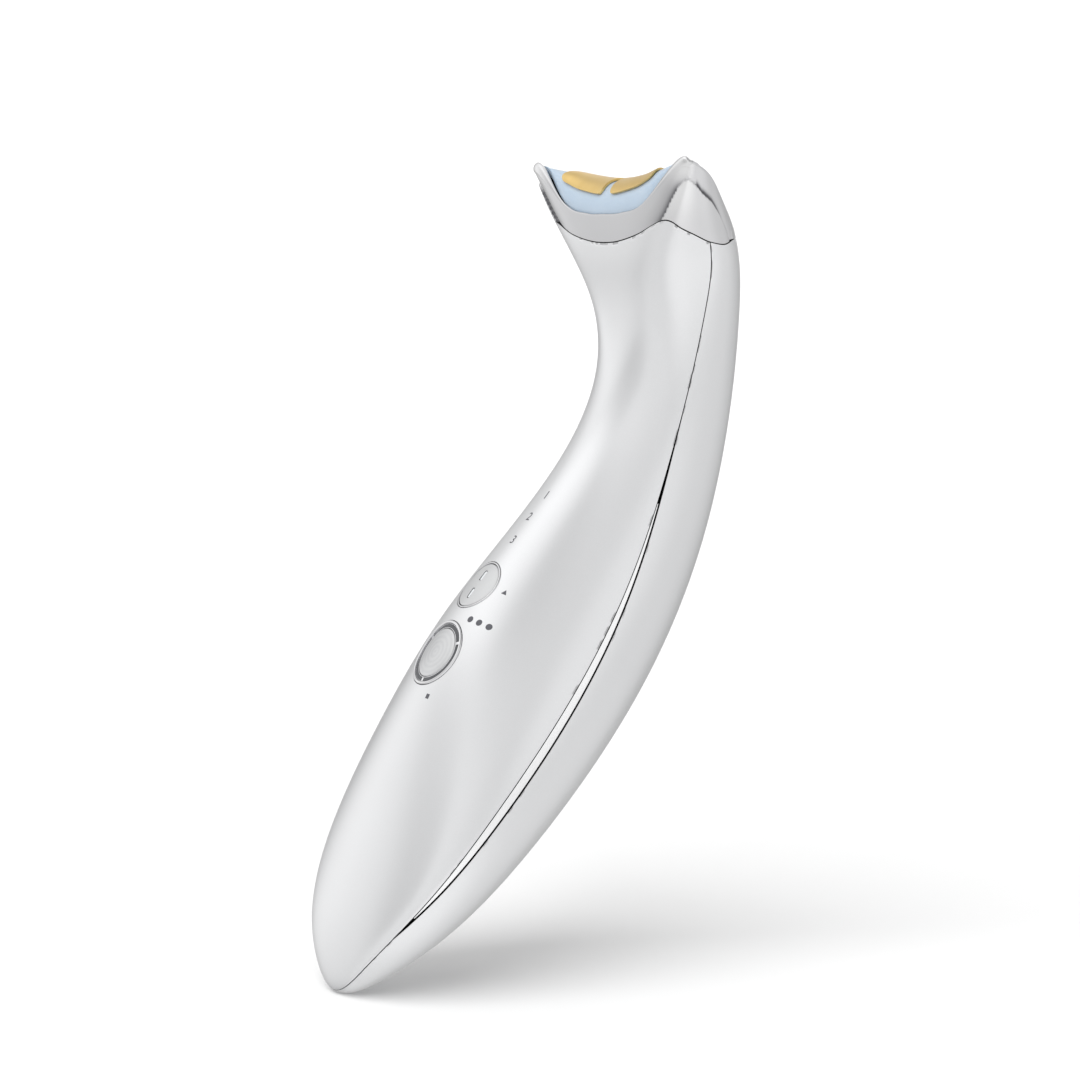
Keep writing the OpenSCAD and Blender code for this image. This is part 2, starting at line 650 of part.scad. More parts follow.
// Leads: round tubes along smooth routes
lead_d = 1;
lead_sides = 6;
lead_x = 4;
board_mid = board_depth + board_t / 2;
function route_pt(p, q) = let (i = min(floor(q), len(p) - 2), t = q - i,
    a = p[max(i - 1, 0)], b = p[i], c = p[i + 1], d = p[min(i + 2, len(p) - 1)])
    b + t * (c - a) / 2 + t ^ 2 * (a - 2.5 * b + 2 * c - d / 2) + t ^ 3 * (1.5 * b - 1.5 * c + (d - a) / 2);
module lead(route, steps) {
    n = steps * (len(route) - 1);
    pts = [for (i = [0:n]) route_pt(route, i / steps)];
    turns = arc(0, 360 - 360 / lead_sides, lead_sides - 1);
    rings = [for (i = [0:n]) let (dir = pts[min(i + 1, n)] - pts[max(i - 1, 0)], t = dir / norm(dir),
        side = cross(t, [0, 1, 0.3]), x = side / norm(side), y = cross(t, x))
        for (a = turns) pts[i] + lead_d / 2 * (cos(a) * x + sin(a) * y)];
    sides = [for (i = [0:n - 1], k = [0:lead_sides - 1])
        let (p = i * lead_sides, q = p + lead_sides, l = (k + 1) % lead_sides)
        each [[p + k, p + l, q + k], [p + l, q + l, q + k]]];
    caps = [[for (k = [lead_sides - 1:-1:0]) k], [for (k = [0:lead_sides - 1]) n * lead_sides + k]];
    polyhedron(points = rings, faces = [for (f = concat(sides, caps)) [for (i = [len(f) - 1:-1:0]) f[i]]]);
}
module electrode_leads() {
    color("firebrick") for (side = [-1, 1]) lead([
        [side * post_x, post_y, k_z * post_end_z - 0.15], [side * post_x, post_y, k_z * post_end_z - 2],
        [side * 7, post_y, k_z * 121], [side * lead_x, 24, k_z * 112],
        [side * lead_x, 20, k_z * 100], from_panel(side * lead_x, board_to + 7, board_mid),
        from_panel(side * lead_x, board_to + 2.5, board_mid),
        from_panel(side * lead_x, board_to + 0.1, board_mid)], 3);
}
module battery_leads() {
    top = cell_from + cell_len - 1;
    color("black") for (side = [-1, 1]) lead([
        from_panel(side * 4.5, top + 0.25, cell_depth),
        from_panel(side * 4.5, top + 1.25, cell_depth),
        from_panel(side * 6, top + 2.5, cell_depth - 4),
        from_panel(side * 6.6, top - 1, board_depth + board_t + 2),
        from_panel(side * 6.6, top - 1, board_depth + board_t + 0.2)], 3);
}
module charge_leads() {
    color("darkorange") for (side = [-1, 1]) lead([
        socket_end + [side * 2, 0, 0], socket_end + [side * 2, 0, 0] - 2 * socket_out,
        from_panel(side * 3, board_from - 10, board_mid + 2),
        from_panel(side * lead_x, board_from - 2.5, board_mid),
        from_panel(side * lead_x, board_from - 0.1, board_mid)], 3);
}
back_step = skin(socket_u - 0.1, -90) - skin(socket_u + 0.1, -90);
socket_out = [0, back_step[2], -back_step[1]] / norm(back_step);
socket_end = skin(socket_u, -90) - (socket_depth + socket_end_t + 0.15) * socket_out;

front_shell();
back_shell();
side_trim_right();
side_trim_left();
head_bezel();
face_window();
electrode_right();
electrode_left();
electrode_carrier();
temperature_sensor();
head_light_board();
power_ring();
power_light_ring();
power_button();
power_stem();
power_switch();
mode_ring();
mode_button();
mode_light_pipes();
mode_stem();
mode_switch();
main_board();
board_screws();
board_chips();
rf_transformer();
battery();
battery_cradle();
charge_socket();
electrode_leads();
battery_leads();
charge_leads();
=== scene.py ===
"""Looks of a handheld facial lifting device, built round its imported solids.

The visible skins are laid out from the same cross-sections as the solids, at a finer
pitch, so every piece lands where its node is. All sizes are millimetres until a mesh
is made, and metres from then on.
"""

import json
import logging
import math
from dataclasses import dataclass, field
from enum import Enum
from typing import Callable, Iterable, Sequence

import bmesh
import bpy
from mathutils import Matrix, Vector

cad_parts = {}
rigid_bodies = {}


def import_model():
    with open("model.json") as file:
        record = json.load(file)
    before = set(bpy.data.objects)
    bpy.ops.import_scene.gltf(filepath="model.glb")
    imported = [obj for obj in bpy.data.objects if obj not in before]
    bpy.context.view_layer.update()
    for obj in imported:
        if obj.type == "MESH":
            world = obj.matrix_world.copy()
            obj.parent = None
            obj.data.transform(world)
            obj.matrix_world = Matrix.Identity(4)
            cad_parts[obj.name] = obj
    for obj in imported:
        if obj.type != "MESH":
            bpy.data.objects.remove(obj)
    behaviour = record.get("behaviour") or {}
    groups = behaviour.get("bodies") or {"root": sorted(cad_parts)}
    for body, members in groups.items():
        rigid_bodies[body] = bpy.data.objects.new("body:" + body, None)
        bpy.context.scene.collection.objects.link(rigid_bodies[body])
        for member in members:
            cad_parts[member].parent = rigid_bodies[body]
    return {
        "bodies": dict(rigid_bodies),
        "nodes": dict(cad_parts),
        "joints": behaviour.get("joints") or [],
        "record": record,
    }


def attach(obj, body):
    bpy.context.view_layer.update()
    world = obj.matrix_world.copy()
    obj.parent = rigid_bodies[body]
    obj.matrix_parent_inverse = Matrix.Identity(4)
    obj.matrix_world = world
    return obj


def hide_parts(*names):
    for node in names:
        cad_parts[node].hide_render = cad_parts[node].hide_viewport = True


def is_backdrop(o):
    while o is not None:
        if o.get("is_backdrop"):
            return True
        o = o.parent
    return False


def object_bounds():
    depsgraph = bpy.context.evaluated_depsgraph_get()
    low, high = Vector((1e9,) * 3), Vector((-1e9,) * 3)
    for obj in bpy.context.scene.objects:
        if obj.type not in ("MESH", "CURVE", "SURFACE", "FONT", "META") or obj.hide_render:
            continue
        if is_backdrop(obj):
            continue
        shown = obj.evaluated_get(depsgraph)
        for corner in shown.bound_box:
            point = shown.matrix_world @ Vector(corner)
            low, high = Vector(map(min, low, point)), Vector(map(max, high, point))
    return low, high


LOG = logging.getLogger("device")
MM = 0.001  # metres in a millimetre
CREASE = 35.0  # degrees above which an edge is shaded sharp
# DEEP marks where a finish paints shade, on inner walls and undersides inside the joints
DEEP = 8.0  # what the layer "deep" holds inside a joint, where a finish turns dark
NOISE_LOW, NOISE_HIGH = 0.25, 0.75  # where most of a noise lies
GRAIN_SHARE = 0.45  # the grain's part in the colour, of which the blotches have the rest
PANEL_LEAN = 36.418  # degrees between the handle's front and the upright
Place = Callable[[float, float], Vector]
Profile = Sequence[tuple[float, float]]
Colour = tuple[float, float, float]
Mesh = bmesh.types.BMesh
Piece = bpy.types.Object
Socket = bpy.types.NodeSocket


def sin(degrees: float) -> float:
    """Returns the sine of an angle in degrees."""
    return math.sin(math.radians(degrees))


def cos(degrees: float) -> float:
    """Returns the cosine of an angle in degrees."""
    return math.cos(math.radians(degrees))


# ---- The body's form


@dataclass(frozen=True)
class Section:
    """One cross-section of the body, in millimetres and degrees."""

    y: float
    z: float
    half_width: float
    front: float
    back: float
    lean: float
    square: float

    def numbers(self) -> tuple[float, ...]:
        """Returns the seven numbers in order."""
        return (self.y, self.z, self.half_width, self.front, self.back, self.lean, self.square)

    def turned_over(self) -> "Section":
        """Returns the section as it is repeated past the tail tip, which makes the tip round."""
        return Section(self.y, self.z, -self.half_width, -self.front, -self.back, self.lean, self.square)


def smooth(t: float) -> float:
    """Returns t eased at both ends, held between 0 and 1."""
    t = min(max(t, 0.0), 1.0)
    return t * t * (3 - 2 * t)


def bump(v: float) -> float:
    """Returns a soft hill that is 1 at 0 and falls to 0 at 1 and -1."""
    return 0.0 if abs(v) >= 1 else (1 - v * v) ** 2


@dataclass(frozen=True)
class BodyForm:
    """The device's outer form: sections from the head's top down to the tail tip."""

    rows: tuple[Section, ...] = (
        Section(17.0, 147.0, 28.5, 2.8, 9.6, 0, 5),
        Section(20.4, 138.0, 24.0, 6.2, 14.4, 0, 5),
        Section(27.8, 129.0, 16.6, 12.9, 12.6, 0, 4.4),
        Section(27.9, 120.0, 13.8, 10.0, 13.8, 0, 3.0),
        Section(26.4, 107.5, 11.6, 9.6, 15.1, 8, 2.2),
        Section(22.2, 94.0, 11.7, 11.5, 17.1, 16, 2),
        Section(16.6, 81.0, 13.4, 14.9, 18.6, 22, 2),
        Section(9.2, 68.0, 15.8, 17.9, 19.4, 28, 2),
        Section(0.2, 56.0, 18.4, 18.9, 19.8, 34, 2),
        Section(-10.5, 44.0, 21.0, 16.6, 19.6, 41, 2),
        Section(-22.0, 32.0, 22.8, 11.4, 18.6, 46, 2),
        Section(-30.3, 22.0, 21.6, 6.8, 16.0, 45, 2),
        Section(-36.2, 13.6, 16.8, 3.9, 12.6, 42, 2),
        Section(-39.8, 6.4, 10.2, 2.2, 8.2, 38, 2),
        Section(-41.2, -2.2, 0, 0, 0, 34, 2),
    )
    joint_heights: tuple[float, ...] = (
        132.6, 132.6, 132.5, 132.3, 132.1, 131.2, 131.6, 132.7, 133.9, 135.4, 133.0, 131.8, 131.5)
    rim_heights: tuple[float, ...] = (
        134.8, 134.7, 134.4, 134.4, 138.0, 143.1, 145.2, 145.7, 146.0, 146.05, 138.6, 137.0, 136.8)
    wall: float = 1.6
    seam_gap: float = 0.2
    trim_w: float = 1.9
    trim_groove: float = 0.4
    trim_from: float = 4.4
    trim_to: float = 12.2
    trim_skew: float = 1.35
    trim_least: float = 0.12
    horn_a: float = 44.0
    level_top: float = 147.0
    level_step: float = 9.0

    @property
    def tip_u(self) -> float:
        """Place of the tail tip."""
        return len(self.rows) - 1

    def row_at(self, i: int) -> tuple[float, ...]:
        """Gives a row, run on past both ends.

        Args:
            i: the row, from -1 to 2 past the last.

        Returns:
            Its numbers.
        """
        if i < 0:
            return tuple(2 * a - b for a, b in zip(self.rows[0].numbers(), self.rows[1].numbers()))
        if i > self.tip_u:
            return self.rows[2 * len(self.rows) - 2 - i].turned_over().numbers()
        return self.rows[i].numbers()

    def station(self, u: float) -> tuple[float, ...]:
        """Returns the smooth section at place u.

        Args:
            u: place along the rows, 0 at the head's top.

        Returns:
            The centre's y and z, half width, front and back depth, lean and squareness.
        """
        i = math.floor(u)
        t = u - i
        w = ((1 - t) ** 3, 3 * t**3 - 6 * t * t + 4, 1 + 3 * t + 3 * t * t - 3 * t**3, t**3)
        rows = [self.row_at(i + k) for k in (-1, 0, 1, 2)]
        return tuple(sum(w[k] * rows[k][n] for k in range(4)) / 6 for n in range(7))

    def skin(self, u: float, a: float, inset: float = 0.0, gap: float = 0.0) -> Vector:
        """Returns a point of the outer skin.

        Args:
            u: place along the body.
            a: angle, 0 at the right seam, 90 at the front crest and -90 at the back crest.
            inset: how far the point is drawn in.
            gap: how far it is moved off the seam plane.

        Returns:
            The point, in millimetres.
        """
        y, z, half, front, back, lean, square = self.station(u)
        c, s = cos(a), sin(a)
        in_front = s > 1e-9 or (abs(s) <= 1e-9 and gap > 0)
        n = square if in_front else 2.0
        r = (abs(c) ** n + abs(s) ** n) ** (1 / n)
        depth = max((front if in_front else back) - inset - abs(gap), 0.0)
        d = gap + depth * s / r
        x = max(half - inset, 0.0) * c / r
        return Vector((x, y - d * cos(lean), z + d * sin(lean)))

    @staticmethod
    def fold(a: float) -> float:
        """Returns the angle on the right half that mirrors angle a."""
        return math.degrees(math.asin(max(-1.0, min(1.0, sin(a)))))

    def height_at(self, heights: Sequence[float], a: float) -> float:
        """Reads a height from a smooth line through a list.

        Args:
            heights: heights at even steps from the back crest to the front crest.
            a: angle at which to read, in degrees.

        Returns:
            The height, in millimetres.
        """
        last = len(heights) - 1
        q = (self.fold(a) + 90) / (180 / last)
        i = max(min(math.floor(q), last - 1), 0)
        t = q - i
        mirrored = [abs(k) if k <= last else 2 * last - k for k in (i - 1, i, i + 1, i + 2)]
        p0, p1, p2, p3 = (heights[k] for k in mirrored)
        return (p1 + t * (p2 - p0) / 2 + t * t * (p0 - 2.5 * p1 + 2 * p2 - p3 / 2)
                + t**3 * (1.5 * p1 - 1.5 * p2 + (p3 - p0) / 2))

    def u_of_z(self, z: float) -> float:
        """Returns the place of a height in the head, whose sections are level."""
        return (self.level_top - z) / self.level_step

    def joint_u(self, a: float) -> float:
        """Returns the place of the wavy joint under the bezel at angle a."""
        return self.u_of_z(self.height_at(self.joint_heights, a))

    def shell_u(self, t: float, a: float) -> float:
        """Returns the place at share t from the joint to the tip, at angle a."""
        top = self.joint_u(a)
        return top + (self.tip_u - top) * t

    def head_pt(self, a: float, z: float, inset: float = 0.0) -> Vector:
        """Returns a point of the head's skin at a height."""
        return self.skin(self.u_of_z(z), a, inset)

    def trim_angle(self, u: float) -> float:
        """Says how wide the side trim is, with its groove.

        Args:
            u: place along the body.

        Returns:
            The width as an angle, in degrees.
        """
        t = (u - self.trim_from) / (self.trim_to - self.trim_from)
        if t <= 0 or t >= 1:
            return 0.0
        return math.degrees(self.trim_w * math.sin(math.pi * t**self.trim_skew) / self.station(u)[4])

    def trim_ends(self) -> tuple[float, float]:
        """Returns the places where the trim starts and ends."""
        share = math.asin((self.trim_groove + self.trim_least) / self.trim_w) / math.pi
        first, last = (self.trim_from + (self.trim_to - self.trim_from) * k ** (1 / self.trim_skew)
                       for k in (share, 1 - share))
        return first, last


FORM = BodyForm()


# ---- Finishes


class Grain(Enum):
    """What a finish shows from close by."""

    FLAKE = "flake"
    BRUSHED = "brushed"
    TURNED = "turned"
    MOULDED = "moulded"
    TRACES = "traces"
    WOUND = "wound"


class Nodes:
    """A node tree, with short calls for adding nodes and feeding them."""

    def __init__(self, tree: bpy.types.NodeTree) -> None:
        """Takes the tree."""
        self.tree = tree

    def feed(self, node: bpy.types.Node, values: dict[str | int, object]) -> None:
        """Sets a node's inputs.

        Args:
            node: the node.
            values: for each input, by name or number, its own value or the socket that feeds it.
        """
        for key, value in values.items():
            if isinstance(value, Socket):
                self.tree.links.new(value, node.inputs[key])
            else:
                node.inputs[key].default_value = value

    def add(self, kind: str, values: dict[str | int, object] | None = None,
            **settings: object) -> bpy.types.Node:
        """Adds a node.

        Args:
            kind: the node's type.
            values: what its inputs are fed.
            settings: its settings.

        Returns:
            The node.
        """
        node = self.tree.nodes.new(kind)
        for key, value in settings.items():
            setattr(node, key, value)
        self.feed(node, values or {})
        return node


class MaterialNodes(Nodes):
    """A material's node tree, with the patterns that the finishes use."""

    def __init__(self, name: str) -> None:
        """Makes an empty material with its output and shader."""
        self.material = bpy.data.materials.new(name)
        self.material.use_nodes = True
        super().__init__(self.material.node_tree)
        self.tree.nodes.clear()
        self.shader = self.add("ShaderNodeBsdfPrincipled")
        self.add("ShaderNodeOutputMaterial", {0: self.shader.outputs[0]})
        self.coords = self.add("ShaderNodeTexCoord").outputs["Object"]

    def placed(self, at: Vector, turn: Sequence[float], stretch: Sequence[float]) -> Socket:
        """Returns object coordinates seen from a point, turned and stretched.

        Args:
            at: the pattern's centre, in metres.
            turn: rotation of the pattern, in radians.
            stretch: how much finer the pattern is along each axis.

        Returns:
            The vector socket.
        """
        return self.add("ShaderNodeMapping", {
            "Location": at, "Rotation": turn, "Scale": [1 / v for v in stretch], "Vector": self.coords},
            vector_type="TEXTURE").outputs[0]

    def noise(self, scale: float, detail: float, at: Socket | None = None, rough: float = 0.5) -> Socket:
        """Returns a noise pattern; scale is in cycles a metre."""
        return self.add("ShaderNodeTexNoise", {
            "Scale": scale, "Detail": detail, "Roughness": rough, "Vector": at or self.coords}).outputs["Fac"]

    def ramp(self, source: Socket, low: float, high: float, a: Colour, b: Colour) -> Socket:
        """Returns a colour that runs from a to b as the source goes from low to high."""
        node = self.add("ShaderNodeValToRGB", {0: source})
        for end, place, colour in zip(node.color_ramp.elements, (low, high), (a, b)):
            end.position, end.color = place, (*colour, 1)
        return node.outputs[0]

    def spread(self, source: Socket, low: float, high: float) -> Socket:
        """Returns a noise spread over low to high."""
        return self.add("ShaderNodeMapRange", {
            "From Min": NOISE_LOW, "From Max": NOISE_HIGH, "To Min": low, "To Max": high,
            "Value": source}).outputs[0]

    def kept(self, name: str) -> Socket:
        """Returns a number that the piece's mesh keeps at each point."""
        return self.add("ShaderNodeAttribute", attribute_name=name).outputs["Fac"]

    def blend(self, share: Socket, a: Socket, b: Colour) -> Socket:
        """Returns colour a where the share is 0, and b where it is 1."""
        return self.add("ShaderNodeMix", {0: share, 6: a, 7: (*b, 1)}, data_type="RGBA").outputs[2]


@dataclass(frozen=True)
class Finish:
    """A surface finish: its colours, gloss and the grain that it shows from close by.

    Pitches and depths are in millimetres. A mesh may keep three layers, each painting light into the colour:
    inside is painted shade where "deep" is high, inside joints and on undersides; the dark tint is painted
    shade where "hollow" is; and the bright tint is a painted highlight where the highlight layer is.
    """

    name: str
    colour: Colour
    shade: Colour
    grain: Grain = Grain.MOULDED
    metal: float = 0.0
    rough: float = 0.35
    rough_spread: float = 0.06
    grain_pitch: float = 0.4
    grain_depth: float = 0.002
    blotch_pitch: float = 12.0
    coat: float = 0.0
    coat_rough: float = 0.05
    clear: float = 0.0
    under_light: float = 0.0
    centre: tuple[float, float, float] = (0.0, 0.0, 0.0)
    turn: tuple[float, float, float] = (0.0, 0.0, 0.0)
    # colour of painted shade on inner walls and undersides, where the layer "deep" is high
    inside: Colour | None = None
    # colour of painted shade, laid where the mesh's layer "hollow" is high
    painted_shade: Colour | None = None
    # colour of painted highlight, laid where the mesh's highlight layer is high
    painted_highlight: Colour | None = None

    def pattern(self, n: MaterialNodes) -> Socket:
        """Makes the grain's own grey pattern.

        Args:
            n: the material's nodes.

        Returns:
            The pattern's socket.
        """
        scale = 1000 / self.grain_pitch
        brushed = self.grain is Grain.BRUSHED
        seen = n.placed(Vector(self.centre) * MM, self.turn, (1, 0.03, 1) if brushed else (1, 1, 1))
        if brushed:
            return n.noise(scale, 3.0, seen, 0.7)
        if self.grain is Grain.FLAKE:
            return n.add("ShaderNodeTexVoronoi", {"Scale": scale, "Vector": seen}).outputs["Color"]
        if self.grain in (Grain.TURNED, Grain.WOUND):
            return n.add("ShaderNodeTexWave", {
                "Scale": scale / 20, "Distortion": 0.6 if self.grain is Grain.TURNED else 0.0,
                "Detail": 2.0, "Detail Scale": 4.0, "Vector": seen},
                wave_type="RINGS", rings_direction="Z").outputs["Fac"]
        if self.grain is Grain.TRACES:
            return n.add("ShaderNodeTexBrick", {
                "Scale": scale / 4, "Color1": (0.0, 0.0, 0.0, 1), "Color2": (0.25, 0.25, 0.25, 1),
                "Mortar": (1, 1, 1, 1), "Mortar Size": 0.03, "Vector": seen}).outputs["Color"]
        return n.noise(scale, 3.0, seen)

    def make(self) -> bpy.types.Material:
        """Makes the material.

        Returns:
            The material.
        """
        n = MaterialNodes(self.name)
        grain, scale = self.pattern(n), 1000 / self.blotch_pitch
        blotch = n.spread(n.noise(scale, 3.0), 0.0, 1 - GRAIN_SHARE)
        mix = n.add("ShaderNodeMath", {0: grain, 1: GRAIN_SHARE, 2: blotch}, operation="MULTIPLY_ADD")
        colour = n.ramp(mix.outputs[0], 0.1, 0.9, self.shade, self.colour)
        # Painted highlight and painted shade: the colour is blended towards a bright tint and a dark tint by
        # the mesh's own layers
        for layer, tint in (("painted_highlight", self.painted_highlight), ("hollow", self.painted_shade)):
            if tint:
                colour = n.blend(n.kept(layer), colour, tint)
        # Painted shade inside joints and on undersides
        if self.inside:
            colour = n.blend(n.spread(n.kept("deep"), 0.0, 1.0), colour, self.inside)
        least, most = self.rough - self.rough_spread, self.rough + self.rough_spread
        gloss = n.spread(n.noise(scale * 3, 4.0), least, most)
        relief = n.add("ShaderNodeBump", {
            "Strength": 1.0, "Distance": self.grain_depth * MM, "Height": grain}).outputs[0]
        n.feed(n.shader, {
            "Base Color": colour, "Roughness": gloss, "Normal": relief, "Metallic": self.metal,
            "Coat Weight": self.coat, "Coat Roughness": self.coat_rough, "Transmission Weight": self.clear,
            "Subsurface Weight": self.under_light, "Subsurface Radius": (0.6, 0.8, 1.0),
            "Subsurface Scale": 1.5 * MM})
        return n.material


AT_POWER = {"centre": (0.0, -20.086, 59.293), "turn": (math.radians(90 - PANEL_LEAN), 0.0, 0.0)}
# Painted shade: near black on the inner walls and undersides, which lie in shadow inside the joints
PAINTED_INSIDE_SHADE = {"inside": (0.02, 0.02, 0.02)}

LACQUER = Finish("pearl_silver_lacquer", (0.83, 0.835, 0.845), (0.78, 0.785, 0.795), Grain.FLAKE,
    metal=0.86, rough=0.30, rough_spread=0.015, grain_pitch=0.09, grain_depth=0.0004, blotch_pitch=40,
    coat=0.55, coat_rough=0.12, **PAINTED_INSIDE_SHADE)
BRIGHT_LACQUER = Finish("bright_silver_lacquer", (0.93, 0.93, 0.935), (0.88, 0.88, 0.89), Grain.FLAKE,
    metal=0.6, rough=0.25, rough_spread=0.015, grain_pitch=0.09, grain_depth=0.0003, blotch_pitch=30,
    coat=0.7, coat_rough=0.06, **PAINTED_INSIDE_SHADE)
PEARL_CAP = Finish("pearl_cap", (0.52, 0.525, 0.53), (0.48, 0.485, 0.49), Grain.FLAKE, metal=0.45,
    rough=0.31, rough_spread=0.02, grain_pitch=0.09, grain_depth=0.0003, blotch_pitch=5, coat=0.5,
    coat_rough=0.08)
# Satin chrome with painted shade in the bezel's valleys, a painted highlight on the petal and horn crest, and
# painted shade inside its joints
SATIN_CHROME = Finish("satin_chrome", (0.68, 0.68, 0.69), (0.63, 0.63, 0.645), Grain.BRUSHED, metal=1.0,
    rough=0.21, rough_spread=0.03, grain_pitch=0.12, grain_depth=0.0003, blotch_pitch=18, coat=0.3,
    coat_rough=0.08, painted_shade=(0.09, 0.09, 0.10), painted_highlight=(0.88, 0.88, 0.885), **PAINTED_INSIDE_SHADE)
SKY_WINDOW = Finish("sky_blue_window", (0.37, 0.45, 0.535), (0.33, 0.41, 0.50), rough=0.37, grain_pitch=0.8,
    grain_depth=0.0003, blotch_pitch=6, coat=0.35, coat_rough=0.15, under_light=0.2)
GOLD_PLATE = Finish("gold_plate", (0.90, 0.66, 0.28), (0.80, 0.56, 0.20), Grain.BRUSHED, metal=1.0,
    rough=0.33, rough_spread=0.04, grain_pitch=0.1, grain_depth=0.0006, blotch_pitch=5)
POLISHED_RING = Finish("polished_chrome", (0.86, 0.86, 0.87), (0.80, 0.80, 0.82), Grain.TURNED, metal=1.0,
    rough=0.08, rough_spread=0.03, grain_pitch=0.15, grain_depth=0.0002, blotch_pitch=4, **AT_POWER)
TURNED_CAP = Finish("turned_satin_cap", (0.70, 0.705, 0.71), (0.62, 0.625, 0.635), Grain.TURNED, metal=0.9,
    rough=0.32, rough_spread=0.03, grain_pitch=0.16, grain_depth=0.0008, blotch_pitch=6, **AT_POWER)
SMOKED_LENS = Finish("smoked_lens", (0.055, 0.057, 0.062), (0.04, 0.042, 0.047), rough=0.35,
    grain_pitch=0.25, grain_depth=0.001, blotch_pitch=2, coat=0.1)
CLEAR_PIPE = Finish("clear_light_pipe", (0.80, 0.82, 0.84), (0.72, 0.75, 0.78), rough=0.2, grain_pitch=0.2,
    blotch_pitch=2, coat=0.6, clear=0.25, **PAINTED_INSIDE_SHADE)
BLACK_MOULDING = Finish("black_moulding", (0.035, 0.035, 0.038), (0.02, 0.02, 0.022), rough=0.5,
    grain_pitch=0.12, grain_depth=0.006, blotch_pitch=3)
IVORY_MOULDING = Finish("ivory_moulding", (0.84, 0.83, 0.78), (0.76, 0.75, 0.70), rough=0.45,
    grain_pitch=0.2, grain_depth=0.004, blotch_pitch=6)
GREEN_BOARD = Finish("solder_mask_board", (0.10, 0.42, 0.22), (0.03, 0.20, 0.10), Grain.TRACES, rough=0.3,
    grain_pitch=0.7, grain_depth=0.01, blotch_pitch=5, coat=0.4)
PLATED_STEEL = Finish("plated_steel", (0.62, 0.61, 0.60), (0.50, 0.49, 0.48), Grain.BRUSHED, metal=1.0,
    rough=0.28, grain_pitch=0.1, grain_depth=0.001, blotch_pitch=2)
COPPER_WINDING = Finish("copper_winding", (0.72, 0.36, 0.16), (0.30, 0.13, 0.05), Grain.WOUND, metal=0.7,
    grain_pitch=0.3, grain_depth=0.05, blotch_pitch=3)
SHRINK_SLEEVE = Finish("blue_shrink_sleeve", (0.07, 0.22, 0.52), (0.04, 0.15, 0.40), rough=0.25,
    grain_pitch=1.5, grain_depth=0.02, blotch_pitch=9, coat=0.4)
WHITE_STEM = Finish("white_stem", (0.82, 0.82, 0.80), (0.72, 0.72, 0.70), rough=0.4, grain_pitch=0.15,
    grain_depth=0.003, blotch_pitch=1.5)
RED_LEAD = Finish("red_insulation", (0.55, 0.03, 0.02), (0.42, 0.02, 0.015), rough=0.4, grain_pitch=0.3,
    blotch_pitch=4)
BLACK_LEAD = Finish("black_insulation", (0.03, 0.03, 0.03), (0.015, 0.015, 0.015), rough=0.42,
    grain_pitch=0.3, blotch_pitch=4)
ORANGE_LEAD = Finish("orange_insulation", (0.80, 0.27, 0.02), (0.66, 0.20, 0.015), rough=0.4,
    grain_pitch=0.3, blotch_pitch=4)
GREY_INK = Finish("grey_ink", (0.09, 0.09, 0.10), (0.05, 0.05, 0.06), rough=0.5, grain_pitch=0.1,
    grain_depth=0.001, blotch_pitch=1)


class Paintbox:
    """Makes each finish once, and dresses and seats the pieces."""

    def __init__(self) -> None:
        """Starts with nothing made."""
        self.made: dict[str, bpy.types.Material] = {}

    def take(self, finish: Finish) -> bpy.types.Material:
        """Returns the finish's material, made the first time that it is asked for."""
        if finish.name not in self.made:
            self.made[finish.name] = finish.make()
        return self.made[finish.name]

    def dress(self, obj: Piece, finish: Finish, body: str, slot: str, *nodes: str) -> None:
        """Dresses a piece, seats it and reports it.

        Args:
            obj: the piece.
            finish: its finish.
            body: the body that it rides on.
            slot: not used.
            nodes: the nodes that it stands for.
        """
        obj.data.materials.clear()
        obj.data.materials.append(self.take(finish))
        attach(obj, body)
        if nodes:
            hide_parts(*nodes)
        LOG.info("%s: %d faces on %s", obj.name, len(obj.data.polygons), body)


# ---- Mesh work


def patch(cols: int, rows: int, place: Place) -> Mesh:
    """Lays a grid over a surface.

    Args:
        cols: cells along s.
        rows: cells along t.
        place: gives the point, in millimetres, for s and t from 0 to 1.

    Returns:
        The mesh, in metres, with each point's s and t kept in two layers.
    """
    bm = bmesh.new()
    bmesh.ops.create_grid(bm, x_segments=cols, y_segments=rows, size=0.5)
    keep_s, keep_t = bm.verts.layers.float.new("s"), bm.verts.layers.float.new("t")
    for v in bm.verts:
        v[keep_s] = min(max(v.co.x + 0.5, 0.0), 1.0)
        v[keep_t] = min(max(v.co.y + 0.5, 0.0), 1.0)
        v.co = place(v[keep_s], v[keep_t]) * MM
    return bm


def thicken(bm: Mesh, under: Place) -> None:
    """Gives a patch a second side and the walls between them.

    Args:
        bm: a mesh from patch.
        under: gives the second side's point for the same s and t. Its layer "deep" is high there, so a finish
            can paint shade on the inside.
    """
    deep = bm.verts.layers.float.new("deep")
    keep_s, keep_t = bm.verts.layers.float["s"], bm.verts.layers.float["t"]
    made = bmesh.ops.extrude_face_region(bm, geom=bm.faces[:], use_keep_orig=True)["geom"]
    for v in made:
        if isinstance(v, bmesh.types.BMVert):
            v.co = under(v[keep_s], v[keep_t]) * MM
            v[deep] = DEEP


def close_up(bm: Mesh, gap: float = 0.002) -> None:
    """Merges points closer than gap, in millimetres, and turns every face outwards."""
    bmesh.ops.remove_doubles(bm, verts=bm.verts, dist=gap * MM)
    bmesh.ops.dissolve_degenerate(bm, edges=bm.edges, dist=1e-7)
    bmesh.ops.recalc_face_normals(bm, faces=bm.faces)


